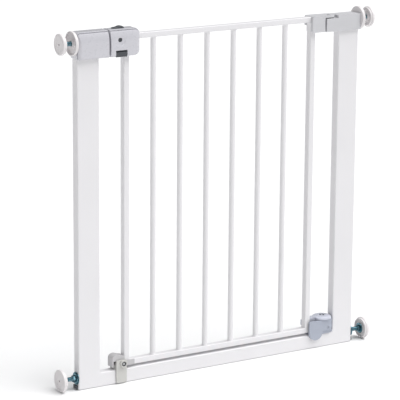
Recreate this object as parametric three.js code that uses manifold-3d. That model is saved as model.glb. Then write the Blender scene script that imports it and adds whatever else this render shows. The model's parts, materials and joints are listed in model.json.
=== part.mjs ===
// Pressure-fit safety gate: a U-shaped steel frame held between two walls by four threaded spindles,
// with a self-closing door of round bars hung on the right post and a latch at the top left.
// Millimetres. +X runs along the gate to the hinge side, +Y to the back, +Z up, floor at Z = 0.
import * as THREE from "three";
import { mergeVertices } from "three/addons/utils/BufferGeometryUtils.js";
import Module from "manifold-3d";

const wasm = await Module();
wasm.setup();

// ---- Driving dimensions -------------------------------------------------------------------------
const touchGap = 0.3; // between two pieces that bear on each other
const slideGap = 0.5; // round a piece that travels in a slot
const turnGap = 0.25; // radial play of a turning fit

const frameWidth = 704; // over both posts
const frameDepth = 22;
const postWidth = 52;
const postHeight = 753;
const frameRailHeight = 31;
const frameWall = 1.5;

const sideGap = 60; // post to door stile, each side
const doorLift = 6; // frame rail to the underside of the door
const doorRise = 2.5; // top of the door above the posts
const doorDepth = 16;
const doorRailHeight = 12;
const stileWidth = 13;
const doorWall = 1.2;
const barDiameter = 12;
const barCount = 6;
const endPitch = 68.5; // stile centre to the first bar

const housingDepth = 42; // latch keeper and handle, front to back
const housingHeight = 57;
const housingRise = 15; // top of both housings above the posts
const housingWall = 2.5;
const keeperReach = 18.8; // keeper beyond the post's inner face
const keeperOverlap = 1.6; // keeper beyond the post's outer face
const latchGap = 4.4; // keeper to handle
const handleReach = 34; // handle beyond the stile's outer edge
const handleCorner = 12;
const dialRadius = 12.3;
const dialHoleRadius = 4.6;

const boltThrow = 9; // travel of the slider and of the bolt
const boltEngage = 8.5; // bolt beyond the handle's left face, less the gap
const boltHeight = 12;
const boltDepth = 10;
const sliderLength = 29;
const sliderDepth = 16;
const sliderHeight = 5;
const stemLength = 8;
const triggerLength = 26;
const triggerHeight = 10;
const triggerTravel = 4;

const pivotInset = 23; // pivot axis to the right post's inner face
const hingePinRadius = 4;
const hingeDepth = 34;
const hingeHeight = 35;
const hingeRise = 2.8; // top of the fixed hinge block above the posts
const hingeGap = 4.5; // between the two blocks
const blockInset = 17.6; // pivot axis to the door-side block
const tongueThickness = 5;
const tongueRise = 1.2; // top of the tongue above the fixed block
const tongueRadius = 15;
const tongueRoom = 2; // round the tongue and below it
const sweepClearance = 1.2; // between a fixed hinge body and the block that turns round it

const bossRadius = 17.5; // round front boss of the lower hinge
const bossInset = 25.5; // its centre left of the pivot
const domeRadius = 22;
const domeHeight = 6.8;
const baseHeight = 33; // lower hinge body above the frame rail
const shaftRadius = 5;

const catchWidth = 25;
const catchHeight = 50;
const catchPlate = 3.7;
const shoeLength = 30; // beyond the stile's outer edge
const shoeHeight = 27;

const upperSpindleDrop = 9; // spindle axis below the post's top
const lowerSpindleHeight = 24.5;
const spindleRadius = 5;
const spindleLength = 69;
const lowerCupStandOff = 41; // outer face of a wall cup to the post
const upperCupStandOff = 36;
const lowerCupRadius = 24.5;
const upperCupRadius = 22.7;
const cupThickness = 9.5;
const cupFloor = 3.5; // between the spindle's end and the wall
const bushingRadius = 6.8;
const bushingFlange = 8.6;
const wheelRadius = 25.7;
const wheelDepth = 7;
const wheelWall = 2;
const wheelHub = 4; // height of the wheel's hub over its disc
const nutFlangeRadius = 12;
const nutHubRadius = 7.5;
const nutLength = 8;
const washerRadius = 14;
const washerThickness = 1.5;

// ---- Positions worked out from them -------------------------------------------------------------
const halfFrame = frameWidth / 2;
const postInner = halfFrame - postWidth;
const doorHalf = postInner - sideGap;
const stileInner = doorHalf - stileWidth;
const doorBottom = frameRailHeight + doorLift;
const doorTop = postHeight + doorRise;
const frontOfFrame = -frameDepth / 2;
const frontOfDoor = -doorDepth / 2;
const frontOfHousing = -housingDepth / 2;
const housingTop = postHeight + housingRise;
const housingBottom = housingTop - housingHeight;
const keeperLeft = -halfFrame - keeperOverlap;
const keeperRight = -postInner + keeperReach;
const handleLeft = keeperRight + latchGap;
const handleRight = -doorHalf + handleReach;
const pivotX = postInner - pivotInset;
const clampRight = pivotX - blockInset;
const sweepRadius = blockInset - sweepClearance;
const upperSpindleZ = postHeight - upperSpindleDrop;

// ---- Solids -------------------------------------------------------------------------------------
function solid(geometry) {
  const bare = geometry.clone();
  bare.deleteAttribute("normal");
  bare.deleteAttribute("uv");
  const merged = mergeVertices(bare, 1e-4);
  return new wasm.Manifold(new wasm.Mesh({
    numProp: 3,
    vertProperties: merged.attributes.position.array,
    triVerts: new Uint32Array(merged.index.array),
  }));
}

function geometryOf(body) {
  const mesh = body.getMesh();
  const geometry = new THREE.BufferGeometry();
  geometry.setAttribute("position", new THREE.BufferAttribute(mesh.vertProperties, 3));
  geometry.setIndex(new THREE.BufferAttribute(mesh.triVerts, 1));
  geometry.computeVertexNormals();
  return geometry;
}

const join = (...bodies) => bodies.reduce((whole, next) => whole.add(next));
const cut = (body, ...tools) => tools.reduce((rest, tool) => rest.subtract(tool), body);

// A box between two corners, each given as [x, y, z].
function box([x0, y0, z0], [x1, y1, z1]) {
  const geometry = new THREE.BoxGeometry(x1 - x0, y1 - y0, z1 - z0);
  return solid(geometry.translate((x0 + x1) / 2, (y0 + y1) / 2, (z0 + z1) / 2));
}

// A cylinder from start to end, both [x, y, z], along one axis.
function rod(start, end, radius, sides = 24) {
  const from = new THREE.Vector3(...start);
  const along = new THREE.Vector3(...end).sub(from);
  const geometry = new THREE.CylinderGeometry(radius, radius, along.length(), sides);
  geometry.translate(0, along.length() / 2, 0);
  const turn = new THREE.Quaternion().setFromUnitVectors(
    new THREE.Vector3(0, 1, 0), along.clone().normalize());
  return solid(geometry.applyQuaternion(turn).translate(...start));
}

// An outline in (x, z), pushed from the front y0 to the back y1.
function frontPrism(shape, y0, y1, curveSegments = 6) {
  const options = { depth: y1 - y0, bevelEnabled: false, curveSegments };
  const geometry = new THREE.ExtrudeGeometry(shape, options);
  return solid(geometry.rotateX(Math.PI / 2).translate(0, y1, 0));
}

// An outline in (y, z), pushed along X from x0 to x1.
function sidePrism(shape, x0, x1, curveSegments = 6) {
  const options = { depth: x1 - x0, bevelEnabled: false, curveSegments };
  const geometry = new THREE.ExtrudeGeometry(shape, options);
  const axes = new THREE.Matrix4().makeBasis(
    new THREE.Vector3(0, 1, 0), new THREE.Vector3(0, 0, 1), new THREE.Vector3(1, 0, 0));
  return solid(geometry.applyMatrix4(axes).translate(x0, 0, 0));
}

// An outline in (x, y), pushed up from z0 to z1.
function planPrism(shape, z0, z1, curveSegments = 6) {
  const options = { depth: z1 - z0, bevelEnabled: false, curveSegments };
  return solid(new THREE.ExtrudeGeometry(shape, options).translate(0, 0, z0));
}

function roundedRectangle(x0, y0, x1, y1, left, right = left) {
  const shape = new THREE.Shape();
  shape.moveTo(x0 + left, y0);
  shape.lineTo(x1 - right, y0);
  shape.absarc(x1 - right, y0 + right, right, -Math.PI / 2, 0);
  shape.absarc(x1 - right, y1 - right, right, 0, Math.PI / 2);
  shape.lineTo(x0 + left, y1);
  shape.absarc(x0 + left, y1 - left, left, Math.PI / 2, Math.PI);
  shape.absarc(x0 + left, y0 + left, left, Math.PI, 1.5 * Math.PI);
  return shape;
}

// A turned piece round an axis along X. The profile holds [distance outwards, radius] points and
// runs towards the side given by side: -1 for the left wall, +1 for the right wall.
function turned(profile, x, z, side, segments = 28) {
  const points = profile.map(([along, radius]) => new THREE.Vector2(radius, along));
  if (THREE.ShapeUtils.area(points) < 0) points.reverse();
  const geometry = new THREE.LatheGeometry(points, segments);
  return solid(geometry.rotateZ(-side * Math.PI / 2).translate(x, 0, z));
}

// A coil spring along +Z from the origin.
function coil(radius, wire, length, turns) {
  class Helix extends THREE.Curve {
    getPoint(t, target = new THREE.Vector3()) {
      const angle = 2 * Math.PI * turns * t;
      return target.set(radius * Math.cos(angle), radius * Math.sin(angle), length * t);
    }
  }
  const section = new THREE.Shape().absarc(0, 0, wire / 2, 0, 2 * Math.PI);
  const options = { extrudePath: new Helix(), steps: Math.round(turns * 10), curveSegments: 3 };
  return new THREE.ExtrudeGeometry(section, options);
}

// ---- Materials ----------------------------------------------------------------------------------
const finish = (color, roughness, metalness = 0) =>
  new THREE.MeshStandardMaterial({ color, roughness, metalness });
const whiteEnamel = finish(0xf1f0f3, 0.35);
const greyShell = finish(0xc6c7ce, 0.45);
const hingeGrey = finish(0xa9b2be, 0.4);
const catchGrey = finish(0xc6c6c0, 0.5);
const darkGrip = finish(0x45484d, 0.7);
const zinc = finish(0x9fb6c0, 0.3, 0.9);
const steel = finish(0xb4b7ba, 0.3, 1);
const whitePlastic = finish(0xf2efec, 0.5);

const gate = new THREE.Group();

function addPiece(name, geometry, material) {
  const mesh = new THREE.Mesh(geometry, material);
  mesh.name = name;
  gate.add(mesh);
  return mesh;
}

const addSolid = (name, body, material) => addPiece(name, geometryOf(body), material);

// ---- Frame --------------------------------------------------------------------------------------
// side is -1 for the latch post and +1 for the hinge post.
const fixings = {
  upper: {
    z: upperSpindleZ,
    cupRadius: upperCupRadius,
    cupBack: halfFrame + upperCupStandOff - cupThickness,
  },
  lower: {
    z: lowerSpindleHeight,
    cupRadius: lowerCupRadius,
    cupBack: halfFrame + lowerCupStandOff - cupThickness,
  },
};
const sides = { left: -1, right: 1 };
const plugSlot = { bottom: 3, top: 8.5, halfDepth: 5 };
const washerClear = lowerSpindleHeight - washerRadius - touchGap * 2;

function post(side) {
  const inner = side * postInner;
  const outer = side * halfFrame;
  const low = Math.min(inner, outer);
  const high = Math.max(inner, outer);
  const back = frameDepth / 2;
  const tube = box([low, -back, 0], [high, back, postHeight]);
  const hollow = box([low + frameWall, -back + frameWall, -1],
    [high - frameWall, back - frameWall, postHeight + 1]);
  const holes = Object.values(fixings).map(({ z }) => rod(
    [side * (halfFrame - 2 * frameWall), 0, z], [side * (halfFrame + 1), 0, z],
    bushingRadius + touchGap));
  const slotLow = Math.min(side * (halfFrame - 2 * frameWall), side * (halfFrame + 1));
  const slot = box([slotLow, -plugSlot.halfDepth - touchGap, plugSlot.bottom - touchGap],
    [slotLow + 2 * frameWall + 1, plugSlot.halfDepth + touchGap, plugSlot.top + touchGap]);
  return cut(tube, hollow, slot, ...holes);
}

// Closes the open foot of a post and shows as a small lip on its outer face.
function footPlug(side) {
  const inset = frameWall + touchGap;
  const lipThickness = 3.5;
  const blockOuter = side * (halfFrame - inset);
  const blockInner = side * (postInner + inset);
  const halfDepth = frameDepth / 2 - inset;
  const across = (a, b) => [Math.min(a, b), Math.max(a, b)];
  const [blockLow, blockHigh] = across(blockInner, blockOuter);
  const block = box([blockLow, -halfDepth, touchGap], [blockHigh, halfDepth, 14]);
  const [bridgeLow, bridgeHigh] = across(blockOuter - side, side * (halfFrame + 1));
  const bridge = box([bridgeLow, -plugSlot.halfDepth, plugSlot.bottom],
    [bridgeHigh, plugSlot.halfDepth, plugSlot.top]);
  const [lipLow, lipHigh] = across(side * (halfFrame + touchGap), side * (halfFrame + lipThickness));
  const lip = box([lipLow, -8, 2], [lipHigh, 8, washerClear]);
  return join(block, bridge, lip);
}

function frameRail() {
  const end = postInner - touchGap;
  const back = frameDepth / 2;
  const tube = box([-end, -back, 0], [end, back, frameRailHeight]);
  const hollow = box([-end - 1, -back + frameWall, frameWall],
    [end + 1, back - frameWall, frameRailHeight - frameWall]);
  return cut(tube, hollow);
}

// Guides a spindle through the post's outer wall.
function bushing(side, z) {
  const bore = spindleRadius + turnGap;
  const profile = [[-12, bore], [0, bore], [0, bushingRadius], [-frameWall - touchGap * 2, bushingRadius],
    [-frameWall - touchGap * 2, bushingFlange], [-5, bushingFlange], [-5, bushingRadius],
    [-12, bushingRadius], [-12, bore]];
  return turned(profile, side * (halfFrame + touchGap), z, side, 16);
}

// ---- Wall fixings -------------------------------------------------------------------------------
const socketDepth = cupThickness - cupFloor;

function wallCup(side, fixing) {
  const radius = fixing.cupRadius;
  const bore = spindleRadius + touchGap;
  const profile = [[0, bore], [socketDepth, bore], [socketDepth, 2], [cupThickness, 2],
    [cupThickness, radius - 0.8], [cupThickness - 0.8, radius], [4, radius],
    [3.6, radius - 1.6], [0.6, radius - 2.2], [0, radius - 3], [0, radius - 5],
    [3, radius - 6.5], [3, 11], [0, 9], [0, bore]];
  return turned(profile, side * fixing.cupBack, fixing.z, side, 28);
}

function spindle(side, fixing) {
  const outerEnd = side * (fixing.cupBack + socketDepth - touchGap);
  const innerEnd = outerEnd - side * spindleLength;
  return rod([outerEnd, 0, fixing.z], [innerEnd, 0, fixing.z], spindleRadius, 20);
}

// A shallow cup turned by hand, its mouth towards the wall.
function handWheel(side, z) {
  const start = halfFrame + 2;
  const bore = spindleRadius + turnGap;
  const profile = [[0, bore], [wheelWall + wheelHub, bore], [wheelWall + wheelHub, bore + 3],
    [wheelWall, bore + 3.6], [wheelWall, wheelRadius - wheelWall - 1],
    [wheelDepth, wheelRadius - wheelWall], [wheelDepth, wheelRadius - 0.6],
    [wheelDepth - 0.6, wheelRadius], [1.2, wheelRadius], [0, wheelRadius - 1.2], [0, bore]];
  return turned(profile, side * start, z, side, 28);
}

// start is the distance of the nut's post-side end from the middle of the gate.
function clampNut(side, z, start, flangeFirst) {
  const bore = spindleRadius + turnGap;
  const flange = 2.4;
  const steps = [[0, bore], [nutLength, bore], [nutLength, nutHubRadius - 1], [flange, nutHubRadius],
    [flange, nutFlangeRadius], [0, nutFlangeRadius], [0, bore]];
  const mirrored = steps.map(([along, radius]) => [nutLength - along, radius]).reverse();
  return turned(flangeFirst ? steps : mirrored, side * start, z, side, 24);
}

function washer(side) {
  const inner = bushingRadius + turnGap;
  const profile = [[0, inner], [washerThickness, inner], [washerThickness, washerRadius],
    [0, washerRadius], [0, inner]];
  return turned(profile, side * (halfFrame + touchGap), lowerSpindleHeight, side, 28);
}

// ---- Door ---------------------------------------------------------------------------------------
function doorRail(z0) {
  const end = stileInner - touchGap;
  const tube = box([-end, frontOfDoor, z0], [end, -frontOfDoor, z0 + doorRailHeight]);
  const hollow = box([-end - 1, frontOfDoor + doorWall, z0 + doorWall],
    [end + 1, -frontOfDoor - doorWall, z0 + doorRailHeight - doorWall]);
  return cut(tube, hollow);
}

function stile(side) {
  const low = side < 0 ? -doorHalf : stileInner;
  const tube = box([low, frontOfDoor, doorBottom], [low + stileWidth, -frontOfDoor, doorTop]);
  const hollow = box([low + doorWall, frontOfDoor + doorWall, doorBottom - 1],
    [low + stileWidth - doorWall, -frontOfDoor - doorWall, doorTop + 1]);
  return cut(tube, hollow);
}

function bar(index) {
  const firstX = -doorHalf + stileWidth / 2 + endPitch;
  const pitch = -2 * firstX / (barCount - 1);
  const x = firstX + index * pitch;
  const z0 = doorBottom + doorRailHeight + touchGap;
  const z1 = doorTop - doorRailHeight - touchGap;
  const tube = rod([x, 0, z0], [x, 0, z1], barDiameter / 2, 16);
  return cut(tube, rod([x, 0, z0 - 1], [x, 0, z1 + 1], barDiameter / 2 - doorWall, 16));
}

// Space that a door stile and a door rail take up, with the gap that a fitted shell keeps.
function stileSpace(side) {
  const low = side < 0 ? -doorHalf : stileInner;
  return box([low - touchGap, frontOfDoor - touchGap, doorBottom - touchGap],
    [low + stileWidth + touchGap, -frontOfDoor + touchGap, doorTop + touchGap]);
}

function railSpace(z0) {
  return box([-stileInner, frontOfDoor - touchGap, z0 - touchGap],
    [stileInner, -frontOfDoor + touchGap, z0 + doorRailHeight + touchGap]);
}

const topRailZ = doorTop - doorRailHeight;

// ---- Latch housings -----------------------------------------------------------------------------
// Side view of the two housings: upright front, a slope above it and a rounded top edge.
function housingProfile(inset) {
  const reach = housingDepth / 2 - inset;
  const bottom = housingBottom + inset;
  const top = housingTop - inset;
  const shape = new THREE.Shape();
  shape.moveTo(-reach + 3, bottom);
  shape.lineTo(reach - 3, bottom);
  shape.lineTo(reach, bottom + 3);
  shape.lineTo(reach, top - 20);
  shape.lineTo(reach - 2.5, top - 9);
  shape.quadraticCurveTo(reach - 4.5, top - 1, reach - 11, top);
  shape.lineTo(-reach + 11, top);
  shape.quadraticCurveTo(-reach + 4.5, top - 1, -reach + 2.5, top - 9);
  shape.lineTo(-reach, top - 20);
  shape.lineTo(-reach, bottom + 3);
  return shape;
}

const half = {
  front: box([-halfFrame * 2, -housingDepth, -10], [halfFrame * 2, -touchGap / 2, postHeight * 2]),
  rear: box([-halfFrame * 2, touchGap / 2, -10], [halfFrame * 2, housingDepth, postHeight * 2]),
};

const boltZ = housingBottom + 18;
const boltWindow = {
  bottom: boltZ - slideGap,
  top: boltZ + boltHeight + slideGap,
  halfDepth: boltDepth / 2 + slideGap,
};

// Fixed housing on the latch post. Its rear half is open where the bolt sweeps out with the door.
function keeper(which) {
  const outer = sidePrism(housingProfile(0), keeperLeft, keeperRight);
  const wallX = -halfFrame - touchGap;
  const inner = sidePrism(housingProfile(housingWall), wallX, keeperRight - housingWall);
  const postSpace = box([wallX, frontOfFrame - touchGap, housingBottom - 1],
    [-postInner + touchGap, -frontOfFrame + touchGap, postHeight + touchGap]);
  const spindleHole = rod([keeperLeft - 1, 0, upperSpindleZ], [wallX + 1, 0, upperSpindleZ],
    bushingFlange + 1);
  const sweepStart = keeperRight - boltEngage - latchGap - 3;
  const sweepEnd = which === "rear" ? housingDepth : boltWindow.halfDepth;
  const window = box([sweepStart, -boltWindow.halfDepth, boltWindow.bottom - 2],
    [keeperRight + 1, sweepEnd, boltWindow.top + 2]);
  return cut(outer, inner, postSpace, spindleHole, window).intersect(half[which]);
}

const keeperScrewX = -postInner + 6;
const keeperScrewHeights = [housingBottom + 9, housingTop - 13];

// A short bar in front of the bolt, which keeps the closed door from swinging to the front.
function strikePlate() {
  const left = keeperRight - boltEngage - latchGap - 2;
  return box([left, -13, boltWindow.bottom - 4],
    [keeperRight - housingWall - touchGap, -boltWindow.halfDepth, boltWindow.top + 4]);
}

// Joins the two keeper halves inside, beyond the post.
function keeperScrew(z) {
  const reach = housingDepth / 2 - housingWall - 3.5;
  return join(rod([keeperScrewX, -reach, z], [keeperScrewX, reach, z], 1.8, 12),
    rod([keeperScrewX, reach - 2, z], [keeperScrewX, reach, z], 3.4, 16));
}

const dialX = handleLeft + 22.2;
const dialZ = housingBottom + 35;
const stemX = handleLeft + 15;
const triggerX = handleLeft + 11.8;
const triggerSlotTop = housingBottom + triggerHeight + triggerTravel - slideGap;
const triggerBack = frontOfDoor - touchGap - 0.5;
const springStop = -doorHalf - 5.5;

function handle(which) {
  const outline = roundedRectangle(
    handleLeft, housingBottom, handleRight, housingTop, 1.5, handleCorner);
  const innerOutline = roundedRectangle(handleLeft + housingWall, housingBottom + housingWall,
    handleRight - housingWall, housingTop - housingWall, 0.5, handleCorner - housingWall);
  const wide = housingDepth;
  const outer = sidePrism(housingProfile(0), handleLeft, handleRight)
    .intersect(frontPrism(outline, -wide, wide));
  const inner = sidePrism(housingProfile(housingWall), handleLeft, handleRight)
    .intersect(frontPrism(innerOutline, -wide, wide));
  const boltHole = box([handleLeft - 1, -boltWindow.halfDepth, boltWindow.bottom],
    [handleLeft + housingWall + 1, boltWindow.halfDepth, boltWindow.top]);
  const stemSlot = box([stemX - slideGap, -4.5, housingTop - housingWall - 1],
    [stemX + stemLength + boltThrow + slideGap, 4.5, housingTop + 1]);
  const triggerSlot = box([triggerX - slideGap, -housingDepth, housingBottom - 1],
    [triggerX + triggerLength + slideGap, triggerBack + slideGap, triggerSlotTop]);
  const dial = join(
    rod([dialX, frontOfHousing - 1, dialZ], [dialX, frontOfHousing + 1, dialZ], dialRadius, 32),
    rod([dialX, frontOfHousing - 1, dialZ], [dialX, frontOfHousing + 4, dialZ], dialHoleRadius, 20));
  const shell = cut(outer, inner, stileSpace(-1), railSpace(topRailZ), boltHole, stemSlot,
    triggerSlot, dial);
  const rib = which === "rear"
    ? box([springStop, 5.4, boltZ - 2], [springStop + 2, housingDepth / 2 - 1, boltZ + boltHeight + 2])
    : box([triggerX + 9, frontOfHousing + 1, triggerSpringTop + touchGap],
      [triggerX + 17, -6.2, triggerSpringTop + touchGap + 2]);
  return join(shell, rib).intersect(half[which]);
}

const triggerSpringTop = triggerSlotTop + 3.2;

// Holds the bolt from the front; the screw behind the dial fixes it.
const guideFront = frontOfHousing + housingWall + 3.5;

function boltGuide() {
  const body = box([dialX - 12, guideFront, boltZ + 3],
    [dialX + 11, -boltDepth / 2 - slideGap, dialZ + 6]);
  return cut(body, rod([dialX, guideFront - 1, dialZ], [dialX, 0, dialZ], 2 + touchGap, 16));
}

function handleScrew() {
  const head = rod([dialX, frontOfHousing + 3, dialZ], [dialX, guideFront - touchGap, dialZ],
    dialHoleRadius - 0.5, 20);
  const shank = rod([dialX, frontOfHousing + 4, dialZ], [dialX, -boltDepth / 2 - 1, dialZ], 2, 16);
  const drive = rod([dialX, frontOfHousing + 2, dialZ], [dialX, frontOfHousing + 4, dialZ], 1.6, 6);
  return cut(join(head, shank), drive);
}

function thumbSlider() {
  const base = housingTop + touchGap;
  const left = stemX - 3;
  const shape = new THREE.Shape();
  shape.moveTo(left, base);
  shape.lineTo(left + sliderLength, base);
  shape.quadraticCurveTo(
    left + sliderLength - 1, base + 3, left + sliderLength - 5, base + sliderHeight - 0.5);
  shape.quadraticCurveTo(left + 19, base + sliderHeight + 0.5, left + 14, base + sliderHeight - 1.2);
  shape.lineTo(left + 3, base + 2.6);
  shape.quadraticCurveTo(left + 0.6, base + 2, left, base);
  const cap = frontPrism(shape, -sliderDepth / 2, sliderDepth / 2, 4);
  const stem = box([stemX, -4, boltZ + boltHeight - 3 + touchGap], [stemX + stemLength, 4, base + 1]);
  return join(cap, stem);
}

const boltTip = handleLeft - latchGap - boltEngage;
const boltTail = -doorHalf - boltThrow - 3;
const lugX = handleLeft + housingWall + 1.2;
const lugReach = housingDepth / 2 - housingWall - 3;

function latchBolt() {
  const r = boltDepth / 2;
  const plan = new THREE.Shape();
  plan.moveTo(boltTip, r);
  plan.lineTo(boltTip, -1);
  plan.lineTo(boltTip + 5, -r);
  plan.lineTo(boltTail, -r);
  plan.lineTo(boltTail, r);
  const body = planPrism(plan, boltZ, boltZ + boltHeight);
  const lug = box([lugX, r - 1, boltZ], [lugX + 3.5, lugReach, boltZ + boltHeight]);
  const pocket = box([stemX - touchGap, -4 - touchGap, boltZ + boltHeight - 3],
    [stemX + stemLength + touchGap, 4 + touchGap, boltZ + boltHeight + 1]);
  return cut(join(body, lug), pocket);
}

function boltSpring() {
  const start = lugX + 3.5 + touchGap + 0.5;
  const length = springStop - touchGap - 0.5 - start;
  const room = lugReach - boltDepth / 2;
  const geometry = coil(room / 2 - 1.65, 0.9, length, 7).rotateY(Math.PI / 2);
  return geometry.translate(start, lugReach - room / 2, boltZ + boltHeight / 2);
}

function trigger() {
  const bottom = housingBottom - 0.5;
  return box([triggerX, frontOfHousing + 0.2, bottom],
    [triggerX + triggerLength, triggerBack, bottom + triggerHeight]);
}

function triggerSpring() {
  const wire = 0.7;
  const bottom = housingBottom - 0.5 + triggerHeight + touchGap + 0.4;
  const length = triggerSpringTop - 0.4 - bottom;
  const front = frontOfHousing + housingWall + touchGap;
  const radius = Math.min(2.6, (triggerBack - front - wire) / 2);
  const middle = (front + triggerBack) / 2;
  return coil(radius, wire, length, 4).translate(triggerX + triggerLength / 2, middle, bottom);
}

// ---- Hinges -------------------------------------------------------------------------------------
const hingeTop = postHeight + hingeRise;
const hingeBottom = hingeTop - hingeHeight;
const tongueTop = hingeTop + tongueRise;
const tongueBottom = tongueTop - tongueThickness;
const blockTop = tongueBottom - tongueRoom;
const hingeHalf = hingeDepth / 2;

const armNotch = { width: 6, drop: 8 }; // behind the stile's inner edge, below the top rail

// Block on the door's top corner, with the tongue that reaches over the fixed block.
function hingeArm() {
  const outline = roundedRectangle(stileInner, hingeBottom + 1, clampRight, tongueTop, 4, 0.8);
  const block = frontPrism(outline, -hingeHalf, hingeHalf);
  const plan = new THREE.Shape();
  plan.moveTo(clampRight - 3, -tongueRadius);
  plan.lineTo(pivotX, -tongueRadius);
  plan.absarc(pivotX, 0, tongueRadius, -Math.PI / 2, Math.PI / 2);
  plan.lineTo(clampRight - 3, tongueRadius);
  const tongue = planPrism(plan, tongueBottom, tongueTop, 12);
  const bore = rod([pivotX, 0, tongueBottom - 1], [pivotX, 0, tongueTop + 1],
    hingePinRadius + turnGap);
  const notch = box([stileInner - 1, -frontOfDoor, hingeBottom],
    [stileInner + armNotch.width, hingeHalf + 1, topRailZ - armNotch.drop]);
  return cut(join(block, tongue), stileSpace(1), bore, notch);
}

const pinFloor = 2; // solid floor under the hinge pin

// Bracket that caps the hinge post; the block under the tongue is round where the door sweeps by.
function hingeBracket() {
  const blockLeft = clampRight + hingeGap;
  const capLeft = pivotX + tongueRadius + tongueRoom;
  const arcEnd = Math.acos((blockLeft - pivotX) / sweepRadius);
  const plan = new THREE.Shape();
  plan.moveTo(blockLeft, -hingeHalf);
  plan.lineTo(capLeft + 2, -hingeHalf);
  plan.lineTo(capLeft + 2, sweepRadius);
  plan.lineTo(pivotX, sweepRadius);
  plan.absarc(pivotX, 0, sweepRadius, Math.PI / 2, arcEnd);
  const block = planPrism(plan, hingeBottom, blockTop, 10);
  const capRight = halfFrame + keeperOverlap;
  const cap = box([capLeft, -hingeHalf, hingeBottom], [capRight, hingeHalf, hingeTop]);
  const postSpace = box([postInner - touchGap, frontOfFrame - touchGap, hingeBottom - 1],
    [halfFrame + touchGap, -frontOfFrame + touchGap, postHeight + touchGap]);
  const spindleHole = rod([halfFrame - 1, 0, upperSpindleZ], [capRight + 1, 0, upperSpindleZ],
    bushingFlange + 1);
  const pinHole = rod([pivotX, 0, hingeBottom + pinFloor], [pivotX, 0, blockTop + 1],
    hingePinRadius + turnGap);
  return cut(join(block, cap), postSpace, spindleHole, pinHole);
}

function hingePin() {
  const bottom = hingeBottom + pinFloor + touchGap;
  return rod([pivotX, 0, bottom], [pivotX, 0, tongueTop - 0.6], hingePinRadius);
}

const saddleBottom = frameRailHeight + touchGap;
const baseTop = frameRailHeight + baseHeight;
const bossX = pivotX - bossInset;
const bossZ = frameRailHeight + 6;
const frontPlate = frontOfFrame - touchGap;
const armLeft = doorHalf + touchGap;
const lobe = {
  x: pivotX + 6,
  z: frameRailHeight + 14.5,
  right: postInner - 6.5,
  bottom: frameRailHeight + 7.3,
  corner: 6,
  capRadius: 3.2,
  front: -17,
  seat: -13,
};

// Saddle over the frame rail: round boss in front, hollow round body that holds the closer spring.
function hingeSaddle() {
  const right = postInner - 1.5;
  const under = box([armLeft, frontPlate, 16], [right, 14, doorBottom - 1]);
  const railSpaceBelow = box([armLeft - 1, frontPlate, 0], [right + 1, -frontPlate, saddleBottom]);
  const boss = rod([bossX, lobe.front, bossZ], [bossX, frontPlate, bossZ], bossRadius, 40);
  const neck = box([bossX - bossRadius, lobe.front, bossZ],
    [bossX + bossRadius, frontPlate, baseTop]);
  const face = frontPrism(
    roundedRectangle(bossX, lobe.bottom, lobe.right, baseTop, 0.5, lobe.corner),
    lobe.front, frontPlate);
  const body = rod([pivotX, 0, doorBottom - 2], [pivotX, 0, baseTop], sweepRadius, 36);
  const heel = box([pivotX, frontPlate, doorBottom - 2], [right, sweepRadius, baseTop]);
  const chamber = rod([pivotX, 0, doorBottom + 1], [pivotX, 0, baseTop + 1], 12, 28);
  const whole = join(cut(under, railSpaceBelow), boss, neck, face, body, heel);
  const capSeat = rod([lobe.x, lobe.front - 1, lobe.z], [lobe.x, lobe.seat, lobe.z],
    lobe.capRadius, 20);
  return cut(whole, chamber, capSeat);
}

function saddleCap() {
  return rod([lobe.x, lobe.front + 0.4, lobe.z], [lobe.x, lobe.seat - touchGap, lobe.z],
    lobe.capRadius - touchGap, 20);
}

const domeBottom = baseTop + 1.2;

function hingeShaft() {
  const shaft = rod([pivotX, 0, doorBottom + 1 + touchGap], [pivotX, 0, domeBottom + 4], shaftRadius);
  return cut(shaft, rod([pivotX, 0, domeBottom - 3], [pivotX, 0, domeBottom + 5], 2.6, 16));
}

function closerSpring() {
  const bottom = doorBottom + 1 + touchGap + 1.4;
  const length = baseTop - 1.5 - bottom;
  return coil(8.6, 1.7, length, 6).translate(pivotX, 0, bottom);
}

// Door-side half of the lower hinge: a low dome over the spring and an arm to the stile.
function hingeDome() {
  const points = [new THREE.Vector2(0, 0), new THREE.Vector2(domeRadius, 0)];
  const steps = 5;
  for (let i = 0; i <= steps; i += 1) {
    const angle = (i / steps) * Math.PI / 2;
    points.push(new THREE.Vector2(
      domeRadius * (0.42 + 0.58 * Math.cos(angle)), 2.5 + (domeHeight - 2.5) * Math.sin(angle)));
  }
  points.push(new THREE.Vector2(0, domeHeight));
  const lathe = new THREE.LatheGeometry(points, 40).rotateX(Math.PI / 2);
  const dome = solid(lathe.translate(pivotX, 0, domeBottom));
  const neck = box([armLeft, -11, domeBottom], [pivotX - 4, 11, domeBottom + 4.5]);
  const arm = box([armLeft, -9.5, doorBottom + 0.5], [clampRight, 9.5, domeBottom + 3]);
  const seat = rod([pivotX, 0, domeBottom + 6], [pivotX, 0, domeBottom + domeHeight + 1], 5, 20);
  const bore = rod([pivotX, 0, domeBottom - 1], [pivotX, 0, domeBottom + 4 + touchGap],
    shaftRadius + turnGap);
  const screwHole = rod([pivotX, 0, domeBottom], [pivotX, 0, domeBottom + 7], 2 + touchGap, 16);
  return cut(join(dome, neck, arm), seat, bore, screwHole);
}

function domeScrew() {
  const base = domeBottom + 6 + touchGap;
  const head = rod([pivotX, 0, base], [pivotX, 0, domeBottom + domeHeight - 0.6], 4.6, 20);
  const shank = rod([pivotX, 0, domeBottom - 2], [pivotX, 0, base + 0.5], 2, 16);
  const drive = rod([pivotX, 0, base + 0.9], [pivotX, 0, base + 5], 1.9, 6);
  return cut(join(head, shank), drive);
}

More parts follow.
